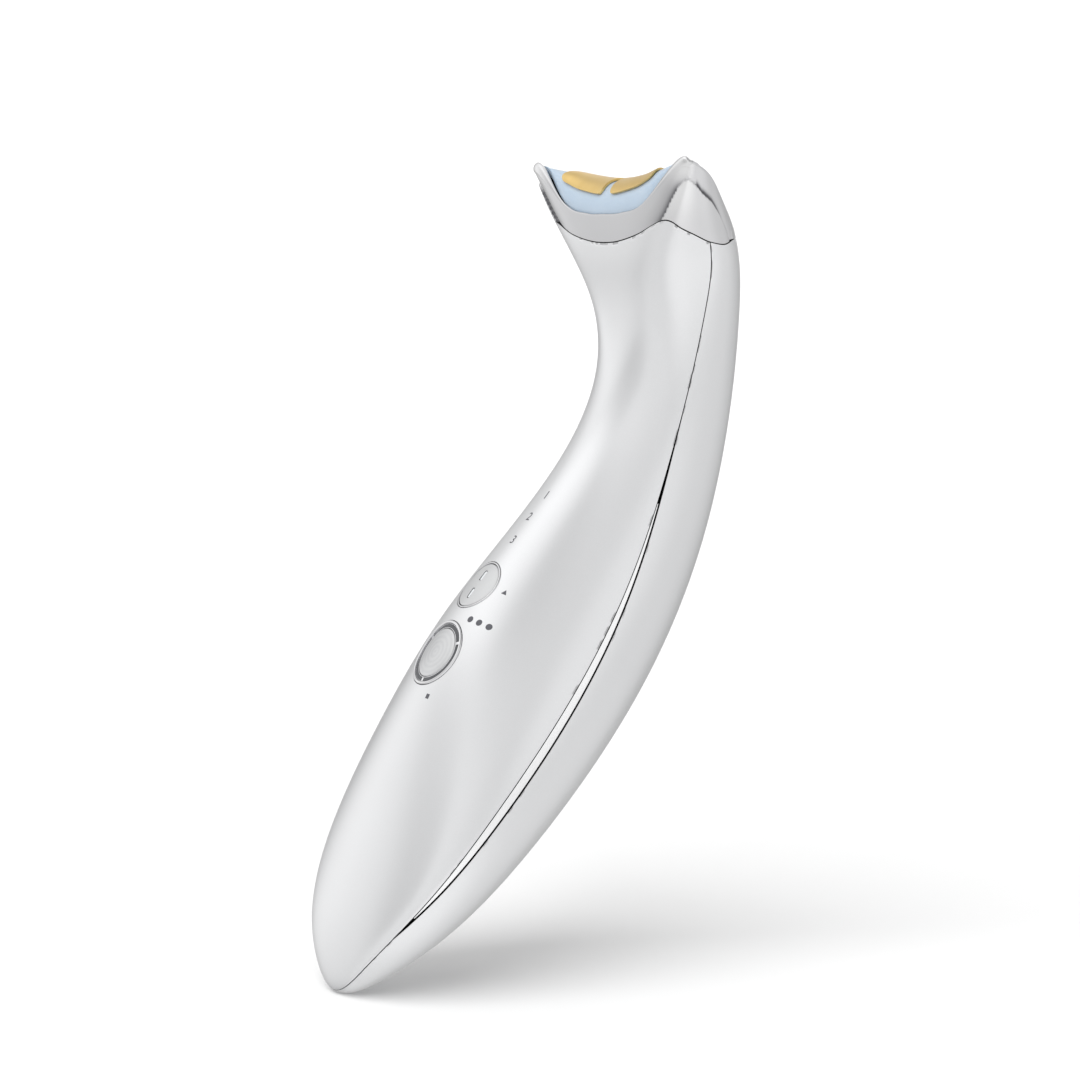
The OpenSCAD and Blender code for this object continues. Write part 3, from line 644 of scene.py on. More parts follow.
def soften(bm: Mesh, width: float, least: float = 40.0, segments: int = 3) -> None:
    """Rounds every edge that turns by more than an angle.

    Args:
        bm: a closed mesh.
        width: the rounding's width, in millimetres.
        least: the angle, in degrees.
        segments: how many faces the rounding has.
    """
    sharp = [e for e in bm.edges if len(e.link_faces) == 2 and e.calc_face_angle(0) > math.radians(least)]
    bmesh.ops.bevel(bm, geom=sharp, offset=width * MM, offset_type="OFFSET", segments=segments,
                    profile=0.5, affect="EDGES", clamp_overlap=True, material=-1)


def as_object(bm: Mesh, name: str, crease: float = CREASE) -> Piece:
    """Makes the mesh an object, shaded smooth up to an angle.

    Args:
        bm: the mesh, which is freed.
        name: the object's name.
        crease: the angle above which an edge stays sharp, in degrees.

    Returns:
        The object.
    """
    mesh = bpy.data.meshes.new(name)
    bm.to_mesh(mesh)
    bm.free()
    mesh.shade_smooth()
    mesh.set_sharp_from_angle(angle=math.radians(crease))
    obj = bpy.data.objects.new(name, mesh)
    bpy.context.scene.collection.objects.link(obj)
    return obj


def cut_with(obj: Piece, tool: Piece) -> None:
    """Cuts a tool's volume out of an object's mesh.

    Args:
        obj: the object.
        tool: the tool, which is deleted.
    """
    modifier = obj.modifiers.new("cut", "BOOLEAN")
    modifier.operation = "DIFFERENCE"
    modifier.solver = "EXACT"
    modifier.object = tool
    bpy.context.view_layer.update()
    cut = bpy.data.meshes.new_from_object(obj.evaluated_get(bpy.context.evaluated_depsgraph_get()))
    obj.modifiers.clear()
    obj.data = cut
    bpy.data.objects.remove(tool)


def plate(name: str, cells: tuple[int, int], top: Place, under: Place, edge: float,
          least: float = 50.0) -> Piece:
    """Makes a closed plate between two surfaces, with its edges rounded.

    Args:
        name: the object's name.
        cells: cells along s and t.
        top: gives the outer side's point for s and t.
        under: gives the inner side's point for the same s and t.
        edge: the rounding's width, in millimetres.
        least: the angle above which an edge is rounded, in degrees.

    Returns:
        The object.
    """
    bm = patch(*cells, top)
    thicken(bm, under)
    close_up(bm)
    soften(bm, edge, least)
    return as_object(bm, name)


# ---- Sub-assemblies


@dataclass
class Shells:
    """The two shells of the housing and the trim along their seam."""

    form: BodyForm
    paint: Paintbox
    cells: tuple[int, int] = (120, 230)
    tip_draw: float = 1.4
    hollow: float = 0.88
    past_axis: float = 99.0
    edge: float = 0.16
    trim_cells: tuple[int, int] = (10, 260)
    trim_depth: float = 1.1
    trim_edge: float = 0.12
    drill: float = 18.0
    power_hole: float = 6.52
    mode_hole: float = 5.21
    hole_at: tuple[float, float] = (-7.177, 7.177)
    socket_u: float = 11.1
    socket_step: float = 0.1
    socket_hole: float = 3.06
    socket_drill: float = 6.0

    def share(self, t: float) -> float:
        """Returns t with the rows drawn closer towards the tail tip."""
        return 1 - (1 - t) ** self.tip_draw

    def shell(self, name: str, side: int) -> Piece:
        """Lays out one shell.

        Args:
            name: the piece's name.
            side: 1 for the front shell and -1 for the back one.

        Returns:
            The object.
        """
        form, gap = self.form, side * self.form.seam_gap / 2

        def angle(s: float, t: float) -> float:
            """Returns the angle of column s at share t."""
            if side > 0:
                return 180 * s
            edge = form.trim_angle(form.shell_u(t, 0))
            return -edge - (180 - 2 * edge) * s

        def outer(s: float, t: float) -> Vector:
            """Returns a point of the skin."""
            t = self.share(t)
            a = angle(s, t)
            return form.skin(form.shell_u(t, a), a, 0, gap)

        def inner(s: float, t: float) -> Vector:
            """Returns a point of the hollow, which ends on the axis in the solid tail."""
            t = self.share(t)
            a = angle(s, t)
            u = form.shell_u(t, a)
            if t < self.hollow:
                return form.skin(u, a, form.wall, gap)
            return form.skin(u, side * 90, self.past_axis, gap)

        return plate(name, self.cells, outer, inner, self.edge)

    def trim(self, name: str, side: int) -> Piece:
        """Lays out the slim trim of one side.

        Args:
            name: the piece's name.
            side: 1 for the right side and -1 for the left one.

        Returns:
            The object.
        """
        form = self.form
        first, last = form.trim_ends()

        def band(inset: float) -> Place:
            """Returns the trim's surface, drawn in by the inset."""
            def at(s: float, t: float) -> Vector:
                """Returns a point of the trim."""
                u = first + (last - first) * t
                to = -form.trim_angle(u) + math.degrees(form.trim_groove / form.station(u)[4])
                p = form.skin(u, to * s, inset, -form.seam_gap / 2)
                return Vector((side * p.x, p.y, p.z))
            return at

        return plate(name, self.trim_cells, band(0), band(self.trim_depth), self.trim_edge)

    @staticmethod
    def bore(obj: Piece, radius: float, depth: float, frame: Matrix) -> None:
        """Bores a round hole through an object.

        Args:
            obj: the object.
            radius: the hole's radius, in millimetres.
            depth: how far the drill reaches, in millimetres, half of it on each side of the frame.
            frame: the hole's own frame, with its axis along z, in metres.
        """
        bm = bmesh.new()
        bmesh.ops.create_cone(bm, cap_ends=True, segments=128, radius1=radius * MM, radius2=radius * MM,
                              depth=depth * MM, matrix=frame)
        cut_with(obj, as_object(bm, "hole"))
        obj.data.shade_smooth()
        obj.data.set_sharp_from_angle(angle=math.radians(CREASE))

    def socket_frame(self) -> Matrix:
        """Returns the charging socket's frame, on the back crest with z outwards."""
        at, above, below = (self.form.skin(self.socket_u + k * self.socket_step, -90) for k in (0, -1, 1))
        step = above - below
        out = Vector((0, step.z, -step.y)).normalized()
        return Matrix.Translation(at * MM) @ out.to_track_quat("Z", "Y").to_matrix().to_4x4()

    def build(self) -> None:
        """Builds and dresses the shells and trims."""
        front = self.shell("front_shell_skin", 1)
        for y, radius in zip(self.hole_at, (self.power_hole, self.mode_hole)):
            self.bore(front, radius, self.drill, PANEL.matrix() @ Matrix.Translation((0, y * MM, 0)))
        back = self.shell("back_shell_skin", -1)
        self.bore(back, self.socket_hole, self.socket_drill, self.socket_frame())
        self.paint.dress(front, LACQUER, "handle", "front_shell", "front_shell")
        self.paint.dress(back, LACQUER, "handle", "back_shell", "back_shell")
        for name, side in (("right", 1), ("left", -1)):
            piece = self.trim(f"side_trim_{name}_band", side)
            self.paint.dress(piece, BRIGHT_LACQUER, "handle", "side_trim", f"side_trim_{name}")


@dataclass(frozen=True)
class Panel:
    """The frame on the front of the handle: x to the right, y up the handle, z outwards."""

    form: BodyForm
    mid: tuple[float, float, float] = (0.0, -15.825, 65.068)
    lean: float = PANEL_LEAN
    mode_u: float = 7.56
    power_u: float = 8.62
    spacing: float = 14.3547
    tries: int = 5

    def matrix(self) -> Matrix:
        """Returns the matrix from the panel's frame to the part's, in metres."""
        turn = Matrix.Rotation(math.radians(90 - self.lean), 4, "X")
        return Matrix.Translation(Vector(self.mid) * MM) @ turn

    def local(self, p: Vector) -> Vector:
        """Returns a point of the part, in millimetres, in the panel's frame."""
        return self.matrix().inverted() @ (p * MM) / MM

    def height(self, x: float, y: float) -> float:
        """Finds how high the skin stands over the panel's plane.

        Args:
            x: place across the panel, in millimetres.
            y: place up the panel.

        Returns:
            The height, in millimetres.
        """
        rate = self.power_u - self.mode_u
        u = self.mode_u + (self.spacing / 2 - y) / self.spacing * rate
        z = 0.0
        for _ in range(self.tries):
            half = self.form.station(u)[2]
            p = self.local(self.form.skin(u, math.degrees(math.acos(max(-1.0, min(1.0, x / half))))))
            u += (p.y - y) / self.spacing * rate
            z = p.z
        return z

    def put(self, x: float, y: float, z: float) -> Vector:
        """Returns the part's point, in millimetres, for one of the panel's frame."""
        return self.matrix() @ (Vector((x, y, z)) * MM) / MM


PANEL = Panel(FORM)


@dataclass
class Head:
    """The horned bezel, the window in it and the two electrodes on the window."""

    form: BodyForm
    paint: Paintbox
    bezel_wall: float = 1.7
    window_step: float = 0.35
    window_t: float = 1.5
    window_clear: float = 0.15
    electrode_gap: float = 3.0
    electrode_proud: float = 0.35
    fit: float = 0.05
    rim_drop: float = 0.15
    front_sink: float = 0.05
    upright_over: float = 16.0
    ledge_w: float = 1.0
    skirt_t: float = 1.1
    skirt_clear: float = 0.12
    skirt_h: float = 2.4
    horn_clear: float = 0.35
    horn_spread: float = 18.0
    horn_pocket: float = 2.0
    rim_least: float = 0.4
    rim_side: float = 1.7
    rim_horn: float = 0.9
    round_front: float = 0.35
    round_side: float = 0.6
    round_horn: float = 0.9
    round_in: float = 0.85
    round_steps: int = 9
    bezel_columns: int = 432
    window_end: float = 0.985
    ridge_over: float = 7.2
    ridge_rise: float = 3.8
    ridge_ease: float = 0.9
    bulge: float = 1.0
    pad_outer_t: float = 0.635
    pad_lift: float = 0.15
    pad_round_s: float = 0.07
    pad_round_v: float = 0.07
    petal: Profile = (
        (48.5, 131.0), (47.0, 135.0), (45.2, 136.6), (43.0, 139.0), (40.0, 141.2), (35.5, 142.3),
        (30.0, 142.5), (18.8, 141.7), (8.0, 140.9), (-0.8, 139.9), (-8.2, 138.6), (-15.0, 136.4),
        (-21.0, 133.6), (-27.0, 128.0))
    petal_pitch: float = 0.42
    petal_mid: float = 20.0
    petal_reach: float = 50.0
    valley_depth: float = 0.4
    valley_w: float = 2.4
    valley_fall: float = 1.5
    crease_w: float = 0.44
    skin_rows: int = 40
    window_cells: tuple[int, int] = (160, 72)
    window_lift: float = 0.3
    window_reach: float = 0.45
    pad_cells: tuple[int, int] = (72, 56)
    pad_front: tuple[float, float] = (0.16, 0.04)
    pad_back: tuple[float, float] = (0.80, 0.45)

    def upright(self, a: float) -> float:
        """Returns how far the window's edge stands upright at angle a."""
        return smooth((self.form.fold(a) - self.form.horn_a) / self.upright_over)

    def at_horn(self, a: float) -> float:
        """Returns how near angle a is to the horn, 1 on it."""
        return bump((self.form.fold(a) - self.form.horn_a) / self.horn_spread)

    def rim_w(self, a: float) -> float:
        """Returns the width of the bezel's rim."""
        return self.rim_least + self.rim_side * (1 - self.upright(a)) - self.rim_horn * self.at_horn(a)

    def rounding(self, a: float) -> tuple[float, float]:
        """Returns how far the rounding of the rim's outer edge goes down and in."""
        down = self.round_front + self.round_side * (1 - self.upright(a)) + self.round_horn * self.at_horn(a)
        return down, self.round_in * self.rim_w(a)

    def rim_z(self, a: float) -> float:
        """Returns the height of the bezel's rim."""
        return self.form.height_at(self.form.rim_heights, a)

    def edge_sink(self, a: float) -> float:
        """Returns how far the window's edge lies below the rim."""
        up = self.upright(a)
        return self.rim_drop + self.front_sink * up + self.window_step * (1 - up)

    def pocket_depth(self, a: float) -> float:
        """Returns how deep the window's pocket is below the rim."""
        window = self.window_t * (1 - self.upright(a))
        return self.edge_sink(a) + window + self.fit + self.horn_pocket * self.at_horn(a)

    def outside_petal(self, a: float, z: float) -> float:
        """Returns how far a place lies outside the petal on the horn's outer side, in millimetres.

        Args:
            a: angle of the place.
            z: its height.

        Returns:
            The distance, negative inside the petal.
        """
        x, inside, least = self.form.fold(a) * self.petal_pitch, False, 1e9
        points = [(pa * self.petal_pitch, pz) for pa, pz in self.petal]
        for (x0, z0), (x1, z1) in zip(points, points[1:] + points[:1]):
            if (z0 > z) != (z1 > z) and x < x0 + (z - z0) * (x1 - x0) / (z1 - z0):
                inside = not inside
            dx, dz = x1 - x0, z1 - z0
            t = min(max(((x - x0) * dx + (z - z0) * dz) / (dx * dx + dz * dz), 0.0), 1.0)
            least = min(least, math.hypot(x - x0 - t * dx, z - z0 - t * dz))
        return -least if inside else least

    def valley(self, a: float, z: float) -> float:
        """Says how far the bezel's skin dips beside the petal.

        Args:
            a: angle of the place.
            z: its height.

        Returns:
            The depth, in millimetres.
        """
        if abs(self.form.fold(a) - self.petal_mid) > self.petal_reach:
            return 0.0
        d = self.outside_petal(a, z)
        if d < 0:
            return 0.0
        fade = math.exp(-((d / self.valley_w) ** self.valley_fall))
        return self.valley_depth * smooth(d / self.crease_w) * fade

    def hollow(self, a: float, z: float) -> float:
        """Says how much painted shade the bezel's skin gets in the valleys beside the petal.

        Args:
            a: angle of the place.
            z: its height.

        Returns:
            The share of the painted shade colour, which stands in for the valleys' shadow and dark
            reflections: the valley nearer the horn is a wide one, from 24 degrees on and under the horn's
            crest, and the far one is a fine line.
        """
        a, d = self.form.fold(a), self.outside_petal(a, z)
        if d < 0:
            return 0.0
        heights = smooth((142.8 - z) / 2.2) * smooth((z - 132.2) / 3)
        near = smooth((a - 24) / 6) * heights * math.exp(-((d / 1.3) ** 1.3))
        far = smooth((16 - a) / 6) * smooth((a + 20) / 9) * math.exp(-(((d - 0.35) / 0.6) ** 2))
        return min(1.0, 1.05 * near + 1.2 * far)

    def painted_highlight(self, a: float, z: float) -> float:
        """Says how much painted highlight the bezel's skin gets on the petal and the horn's crest.

        Args:
            a: angle of the place.
            z: its height.

        Returns:
            The share of the painted highlight colour, which grows up the petal and towards the horn.
        """
        a, d = self.form.fold(a), self.outside_petal(a, z)
        petal = smooth(-d / 0.3) * (0.2 + 0.8 * smooth((a - 8) / 30)) * (0.4 + 0.6 * smooth((z - 134) / 7))
        return max(petal, smooth((z - 141.5) / 2.5) * bump((a - 36) / 20) * smooth(d / 0.3))

    def bezel_section(self, a: float) -> list[Vector]:
        """Lays out the bezel's section at one angle.

        Args:
            a: the angle, in degrees.

        Returns:
            Its points: up the skin, over the rim, down the pocket and round the skirt.
        """
        form = self.form
        low = form.height_at(form.joint_heights, a) + form.seam_gap
        top, r = self.rim_z(a), self.rim_w(a)
        ledge_z = top - self.pocket_depth(a)
        ledge = r + self.ledge_w + self.window_t * self.upright(a)
        skirt = form.wall + self.skirt_clear
        inside = max(self.bezel_wall, skirt + self.skirt_t)
        down, into = self.rounding(a)
        heights = [low + (top - down - low) * k / self.skin_rows for k in range(self.skin_rows)]
        outside = [form.head_pt(a, z, self.valley(a, z) * smooth((top - z) / 2)) for z in heights]
        round_over = [form.head_pt(a, top - down * (1 - sin(k)), into * (1 - cos(k)))
                      for k in range(0, 91, 90 // self.round_steps)]
        corners = [(top - self.rim_drop, r), (ledge_z, r), (ledge_z, ledge),
                   (min(ledge_z - 0.8, low + 1.2), inside), (low - self.skirt_h, inside),
                   (low - self.skirt_h, skirt), (low, skirt)]
        return outside + round_over + [form.head_pt(a, z, inset) for z, inset in corners]

    def bezel(self) -> Piece:
        """Builds the bezel as one closed ring, with the layers of painted shade and painted highlight that
        its finish reads.

        Returns:
            The object.
        """
        count, columns = len(self.bezel_section(0)), self.bezel_columns
        sections: dict[int, list[Vector]] = {}

        def at(s: float, t: float) -> Vector:
            """Returns a point of the ring: column s of section t."""
            k = round(s * columns) % columns
            if k not in sections:
                sections[k] = self.bezel_section(360 * k / columns)
            return sections[k][round(t * count) % count]

        bm = patch(columns, count, at)
        layers = bm.verts.layers.float
        for name in ("deep", "hollow", "painted_highlight"):
            layers.new(name)
        deep, hollow, painted_highlight, keep_s, keep_t = (layers[k] for k in ("deep", "hollow", "painted_highlight", "s", "t"))
        rim_end = self.skin_rows + self.round_steps
        # Painted light: shade in the valleys beside the petal, a highlight on the petal and the crest, and
        # shade on the pocket and skirt inside the joint
        for v in bm.verts:
            a, k = 360 * v[keep_s], round(v[keep_t] * count) % count
            if k <= rim_end:
                v[hollow] = self.hollow(a, v.co.z / MM)
                v[painted_highlight] = self.painted_highlight(a, v.co.z / MM)
            else:
                v[deep] = DEEP * (k > rim_end + 2)
        close_up(bm)
        soften(bm, 0.1, 50, 2)
        return as_object(bm, "head_bezel_skin", 30)

    def window_edge(self, a: float, deep: float) -> Vector:
        """Returns a point of the window's edge.

        Args:
            a: angle of the place.
            deep: distance under the face, in millimetres.

        Returns:
            The point, in millimetres.
        """
        up = self.upright(a)
        p = self.form.head_pt(a, self.rim_z(a) - self.edge_sink(a) - deep * (1 - up),
                              self.rim_w(a) + self.window_clear + deep * up)
        return p + Vector((0, self.horn_clear * self.at_horn(a), 0))

    def window_x(self) -> float:
        """Returns the window's half length, from the middle to a horn."""
        return self.window_edge(self.form.horn_a, 0.0).x

    def window_pt(self, t: float, v: float, deep: float = 0.0) -> Vector:
        """Returns a point of the window.

        Args:
            t: column, from one horn (-1) to the other (1).
            v: from the front edge (0) to the back edge (1).
            deep: distance under the face, in millimetres.

        Returns:
            The point, in millimetres.
        """
        horn, s = self.form.horn_a, abs(t)
        turn = math.degrees(1)
        front_a = 90 - math.degrees(math.atan(s / math.tan(math.radians(horn))))
        front = self.window_edge(front_a, deep)
        back = self.window_edge(turn * s - 90 + (90 + horn - turn) * s**3, deep)
        middle = (self.rim_z(90) + self.rim_z(-90)) / 2 + self.ridge_over
        out = front.x / self.window_x()
        ridge = middle + self.ridge_rise * out**2 - self.ridge_ease * out**6 - deep
        high = max(ridge + self.window_lift * (ridge - (front.z + back.z) / 2), front.z)
        reach = (back.y - front.y) * self.window_reach
        p = (front, Vector((front.x, front.y - self.bulge * self.upright(front_a), high)),
             Vector(((front.x + back.x) / 2, front.y + reach, high)), back)
        w = ((1 - v) ** 3, 3 * (1 - v) ** 2 * v, 3 * (1 - v) * v * v, v**3)
        q = sum((p[k] * w[k] for k in range(4)), Vector())
        return Vector((math.copysign(q.x, t) if t else q.x, q.y, q.z))

    def window(self) -> Piece:
        """Builds the window."""
        def face(deep: float) -> Place:
            """Returns the window's surface, deep under its face."""
            return lambda s, v: self.window_pt(self.window_end * math.sin(math.pi * (s - 0.5)), v, deep)

        return plate("face_window_pane", self.window_cells, face(0), face(self.window_t), 0.14, 45)

    def pad(self, name: str, side: int) -> Piece:
        """Builds one electrode's plate, bent to the window's curve.

        Args:
            name: the piece's name.
            side: 1 for the right electrode and -1 for the left one.

        Returns:
            The object.
        """
        inner = self.electrode_gap / 2 / self.window_pt(1, 0).x

        def rounding(s: float) -> float:
            """Returns how far the plate's rounded corners draw its edge in at s."""
            near = max(0.0, 1 - min(s, 1 - s) / self.pad_round_s)
            return self.pad_round_v * (1 - math.sqrt(max(0.0, 1 - near * near)))

        def face(deep: float) -> Place:
            """Returns the plate's surface, deep under the window's face."""
            def at(s: float, v: float) -> Vector:
                """Returns a point of the plate."""
                s = 0.5 - 0.5 * math.cos(math.pi * s)
                t = inner + (self.pad_outer_t - inner) * s
                k = t / self.pad_outer_t
                front = self.pad_front[0] + self.pad_front[1] * k + rounding(s)
                back = self.pad_back[0] - self.pad_back[1] * k**4 - rounding(s)
                p = self.window_pt(t, front + (back - front) * v, deep)
                return Vector((side * p.x, p.y, p.z))
            return at

        top, under = face(-self.electrode_proud - self.pad_lift), face(-self.pad_lift + self.fit)
        return plate(name, self.pad_cells, top, under, 0.15, 45)

    def build(self) -> None:
        """Builds and dresses the head's outer pieces."""
        self.paint.dress(self.bezel(), SATIN_CHROME, "handle", "head_bezel", "head_bezel")
        self.paint.dress(self.window(), SKY_WINDOW, "handle", "face_window", "face_window")
        for name, side in (("right", 1), ("left", -1)):
            piece = self.pad(f"electrode_{name}_plate", side)
            self.paint.dress(piece, GOLD_PLATE, "handle", "electrode", f"electrode_{name}")


@dataclass
class Button:
    """One press button: the ring round it and the cap that is pressed."""

    panel: Panel
    paint: Paintbox
    centre_y: float
    steps: int = 128
    ring_r: float = 6.4
    ring_w: float = 0.55
    ring_depth: float = 4.2
    cap_depth: float = 4.6
    clear: float = 0.12

    @property
    def ring_in(self) -> float:
        """Returns the ring's inner radius."""
        return self.ring_r - self.ring_w

    def turned(self, name: str, profile: Profile, start: float = 0.0, sweep: float = 360.0,
               edge: float = 0.08) -> Piece:
        """Turns a closed profile round the button's axis, riding on the skin's own curve.

        Args:
            name: the piece's name.
            profile: the section's radius and height over the skin, in millimetres, in order.
            start: where the sweep starts, in degrees.
            sweep: how far it goes.
            edge: width of the rounding on its corners.

        Returns:
            The object.
        """
        count = len(profile)

        def at(s: float, t: float) -> Vector:
            """Returns a point of the turned surface."""
            r, h = profile[round(t * count) % count]
            a = math.radians(start + sweep * s)
            x, y = r * math.cos(a), self.centre_y + r * math.sin(a)
            return self.panel.put(x, y, self.panel.height(x, y) + h)

        bm = patch(max(8, int(self.steps * sweep / 360)), count, at)
        close_up(bm, 0.0005)
        if sweep < 360:
            bmesh.ops.holes_fill(bm, edges=[e for e in bm.edges if len(e.link_faces) == 1], sides=0)
            bmesh.ops.recalc_face_normals(bm, faces=bm.faces)
        soften(bm, edge)
        return as_object(bm, name, 30)

    def ring(self, name: str, crown_h: float, count: int, edge: float) -> Piece:
        """Turns the button's ring, which is half round on top.

        Args:
            name: the piece's name.
            crown_h: height of the round's centre over the skin.
            count: how many steps the round has.
            edge: width of the rounding on its corners.

        Returns:
            The object.
        """
        mid, radius = (self.ring_r + self.ring_in) / 2, self.ring_w / 2
        crown = [(mid + radius * cos(180 * k / count), crown_h + radius * sin(180 * k / count))
                 for k in range(count + 1)]
        low = -self.ring_depth
        return self.turned(name, [(self.ring_r, low), *crown, (self.ring_in, low)], edge=edge)

    @staticmethod
    def dome(r: float, rise: float, base: float = 0.0) -> Profile:
        """Returns the points of a slightly domed top, from its middle to its edge."""
        return [(r * k / 10, rise * (1 - (k / 10) ** 2) + base) for k in range(11)]


@dataclass
class PowerButton(Button):
    """The larger button: chrome ring, three lit arcs and a turned cap."""

    light_w: float = 0.95
    seat: float = 0.05
    bed_depth: float = 2.4
    bed_h: tuple[float, float] = (-0.06, -0.1)
    groove_floor: float = -0.5
    groove_out: float = 0.08
    groove_in: float = 0.12
    groove_draft: float = 0.01
    lens_h: tuple[float, float] = (-0.48, -0.11)
    lens_edge: float = 0.05
    bridge_h: tuple[float, float] = (-0.49, -0.08)
    bridge_edge: float = 0.04
    cap_rise: float = 0.05
    cap_edge: float = 0.16
    flange_w: float = 0.7
    flange_t: float = 0.9
    arc_gap: float = 9.0
    bridge_clear: float = 1.4

    @property
    def light_span(self) -> tuple[float, float]:
        """Returns the light ring's inner and outer radius."""
        return self.ring_in - self.light_w, self.ring_in - self.seat

    def bar(self, name: str, heights: tuple[float, float], start: float, sweep: float, edge: float) -> Piece:
        """Turns a bar that lies in the light ring's groove.

        Args:
            name: the piece's name.
            heights: heights of its underside and its face over the skin.
            start: where it starts, in degrees.
            sweep: how far it goes.
            edge: width of the rounding on its corners.

        Returns:
            The object.
        """
        (lo, hi), (low, top), free = self.light_span, heights, 2 * self.groove_draft
        out, inn = hi - self.groove_out - free, lo + self.groove_in + free
        return self.turned(name, [(out, low), (out, top), (inn, top), (inn, low)], start, sweep, edge)

    def build(self) -> None:
        """Builds and dresses the button."""
        dress = self.paint.dress
        ring = self.ring("power_ring_chrome", 0.0, 8, 0.03)
        dress(ring, POLISHED_RING, "handle", "chrome_ring", "power_ring")
        lo, hi = self.light_span
        out, inn, draft = hi - self.groove_out, lo + self.groove_in, self.groove_draft
        bed = self.turned("power_light_bed", [
            (hi, -self.bed_depth), (hi, self.bed_h[1]), (out, self.bed_h[1]),
            (out - draft, self.groove_floor), (inn + draft, self.groove_floor),
            (inn, self.bed_h[0]), (lo, self.bed_h[0]), (lo, -self.bed_depth)], edge=0.02)
        dress(bed, POLISHED_RING, "handle", "chrome_ring", "power_light_ring")
        for k in range(3):
            start, sweep = -90 + 120 * k + self.arc_gap / 2, 120 - self.arc_gap
            lens = self.bar(f"power_light_arc_{k + 1}", self.lens_h, start, sweep, self.lens_edge)
            dress(lens, SMOKED_LENS, "handle", "light_ring")
            start, sweep = start - self.arc_gap + self.bridge_clear, self.arc_gap - 2 * self.bridge_clear
            bridge = self.bar(f"power_light_bridge_{k + 1}", self.bridge_h, start, sweep, self.bridge_edge)
            dress(bridge, POLISHED_RING, "handle", "chrome_ring")
        r, low = lo - self.clear, -self.cap_depth
        wide, high = r + self.flange_w, low + self.flange_t
        flange = [(r, high), (wide, high), (wide, low), (0.0, low)]
        cap = self.turned("power_cap", [*self.dome(r, self.cap_rise), *flange], edge=self.cap_edge)
        dress(cap, TURNED_CAP, "power_button", "power_cap", "power_button")


@dataclass
class ModeButton(Button):
    """The smaller button: a thin ring and a glossy cap with two lit dashes."""

    ring_r: float = 5.1
    ring_w: float = 0.3
    ring_depth: float = 3.8
    dash_len: float = 2.3
    dash_w: float = 0.9
    dash_y: float = 1.95
    dash_clear: float = 0.17
    dash_edge: float = 0.06
    dash_h: tuple[float, float] = (-0.55, 0.02)
    slot_h: tuple[float, float] = (-0.6, 1.0)
    cap_rise: float = 0.12
    cap_sink: float = 0.02
    cap_edge: float = 0.22

    def dash(self, name: str, side: int, shrink: float, heights: tuple[float, float]) -> Piece:
        """Builds one dash as a long round-ended block that follows the skin on top.

        Args:
            name: the piece's name.
            side: 1 for the upper dash and -1 for the lower one.
            shrink: how much it is drawn in all round.
            heights: heights of its underside and its face over the skin.

        Returns:
            The object.
        """
        bm, middle, (low, high) = bmesh.new(), self.centre_y + side * self.dash_y, heights
        deep = bm.verts.layers.float.new("deep")
        bmesh.ops.create_circle(bm, cap_ends=True, segments=32, radius=(self.dash_w / 2 - shrink) * MM)
        for v in bm.verts:
            if abs(v.co.y) > 1e-9:
                v.co.y += math.copysign((self.dash_len - self.dash_w) / 2 * MM, v.co.y)
        made = bmesh.ops.extrude_face_region(bm, geom=bm.faces[:], use_keep_orig=True)["geom"]
        tops = {v for v in made if isinstance(v, bmesh.types.BMVert)}
        for v in bm.verts:
            x, y = v.co.x / MM, v.co.y / MM + middle
            v.co = self.panel.put(x, y, self.panel.height(x, y) + (high if v in tops else low)) * MM
            # Marks the dash's sides and underside for painted shade
            v[deep] = 0.0 if v in tops else DEEP
        bmesh.ops.recalc_face_normals(bm, faces=bm.faces)
        if shrink > 0:
            soften(bm, self.dash_edge)
        return as_object(bm, name)

    def build(self) -> None:
        """Builds and dresses the button."""
        ring = self.ring("mode_ring_chrome", -0.06, 6, 0.02)
        self.paint.dress(ring, POLISHED_RING, "handle", "chrome_ring", "mode_ring")
        r, low = self.ring_in - self.clear, -self.cap_depth
        top = self.dome(r, self.cap_rise, -self.cap_sink)
        cap = self.turned("mode_cap", [*top, (r, low), (0.0, low)], edge=self.cap_edge)
        for side in (-1, 1):
            cut_with(cap, self.dash("slot", side, 0.0, self.slot_h))
        cap.data.set_sharp_from_angle(angle=math.radians(30))
        self.paint.dress(cap, PEARL_CAP, "mode_button", "mode_cap", "mode_button")
        for k, side in enumerate((-1, 1)):
            lens = self.dash(f"mode_dash_{k + 1}", side, self.dash_clear, self.dash_h)
            self.paint.dress(lens, CLEAR_PIPE, "mode_button", "light_pipe", "mode_light_pipes")


class Sign(Enum):
    """A plain printed sign, by its number of corners; a number is printed as itself."""

    TRIANGLE = 3
    SQUARE = 4
    DOT = 24


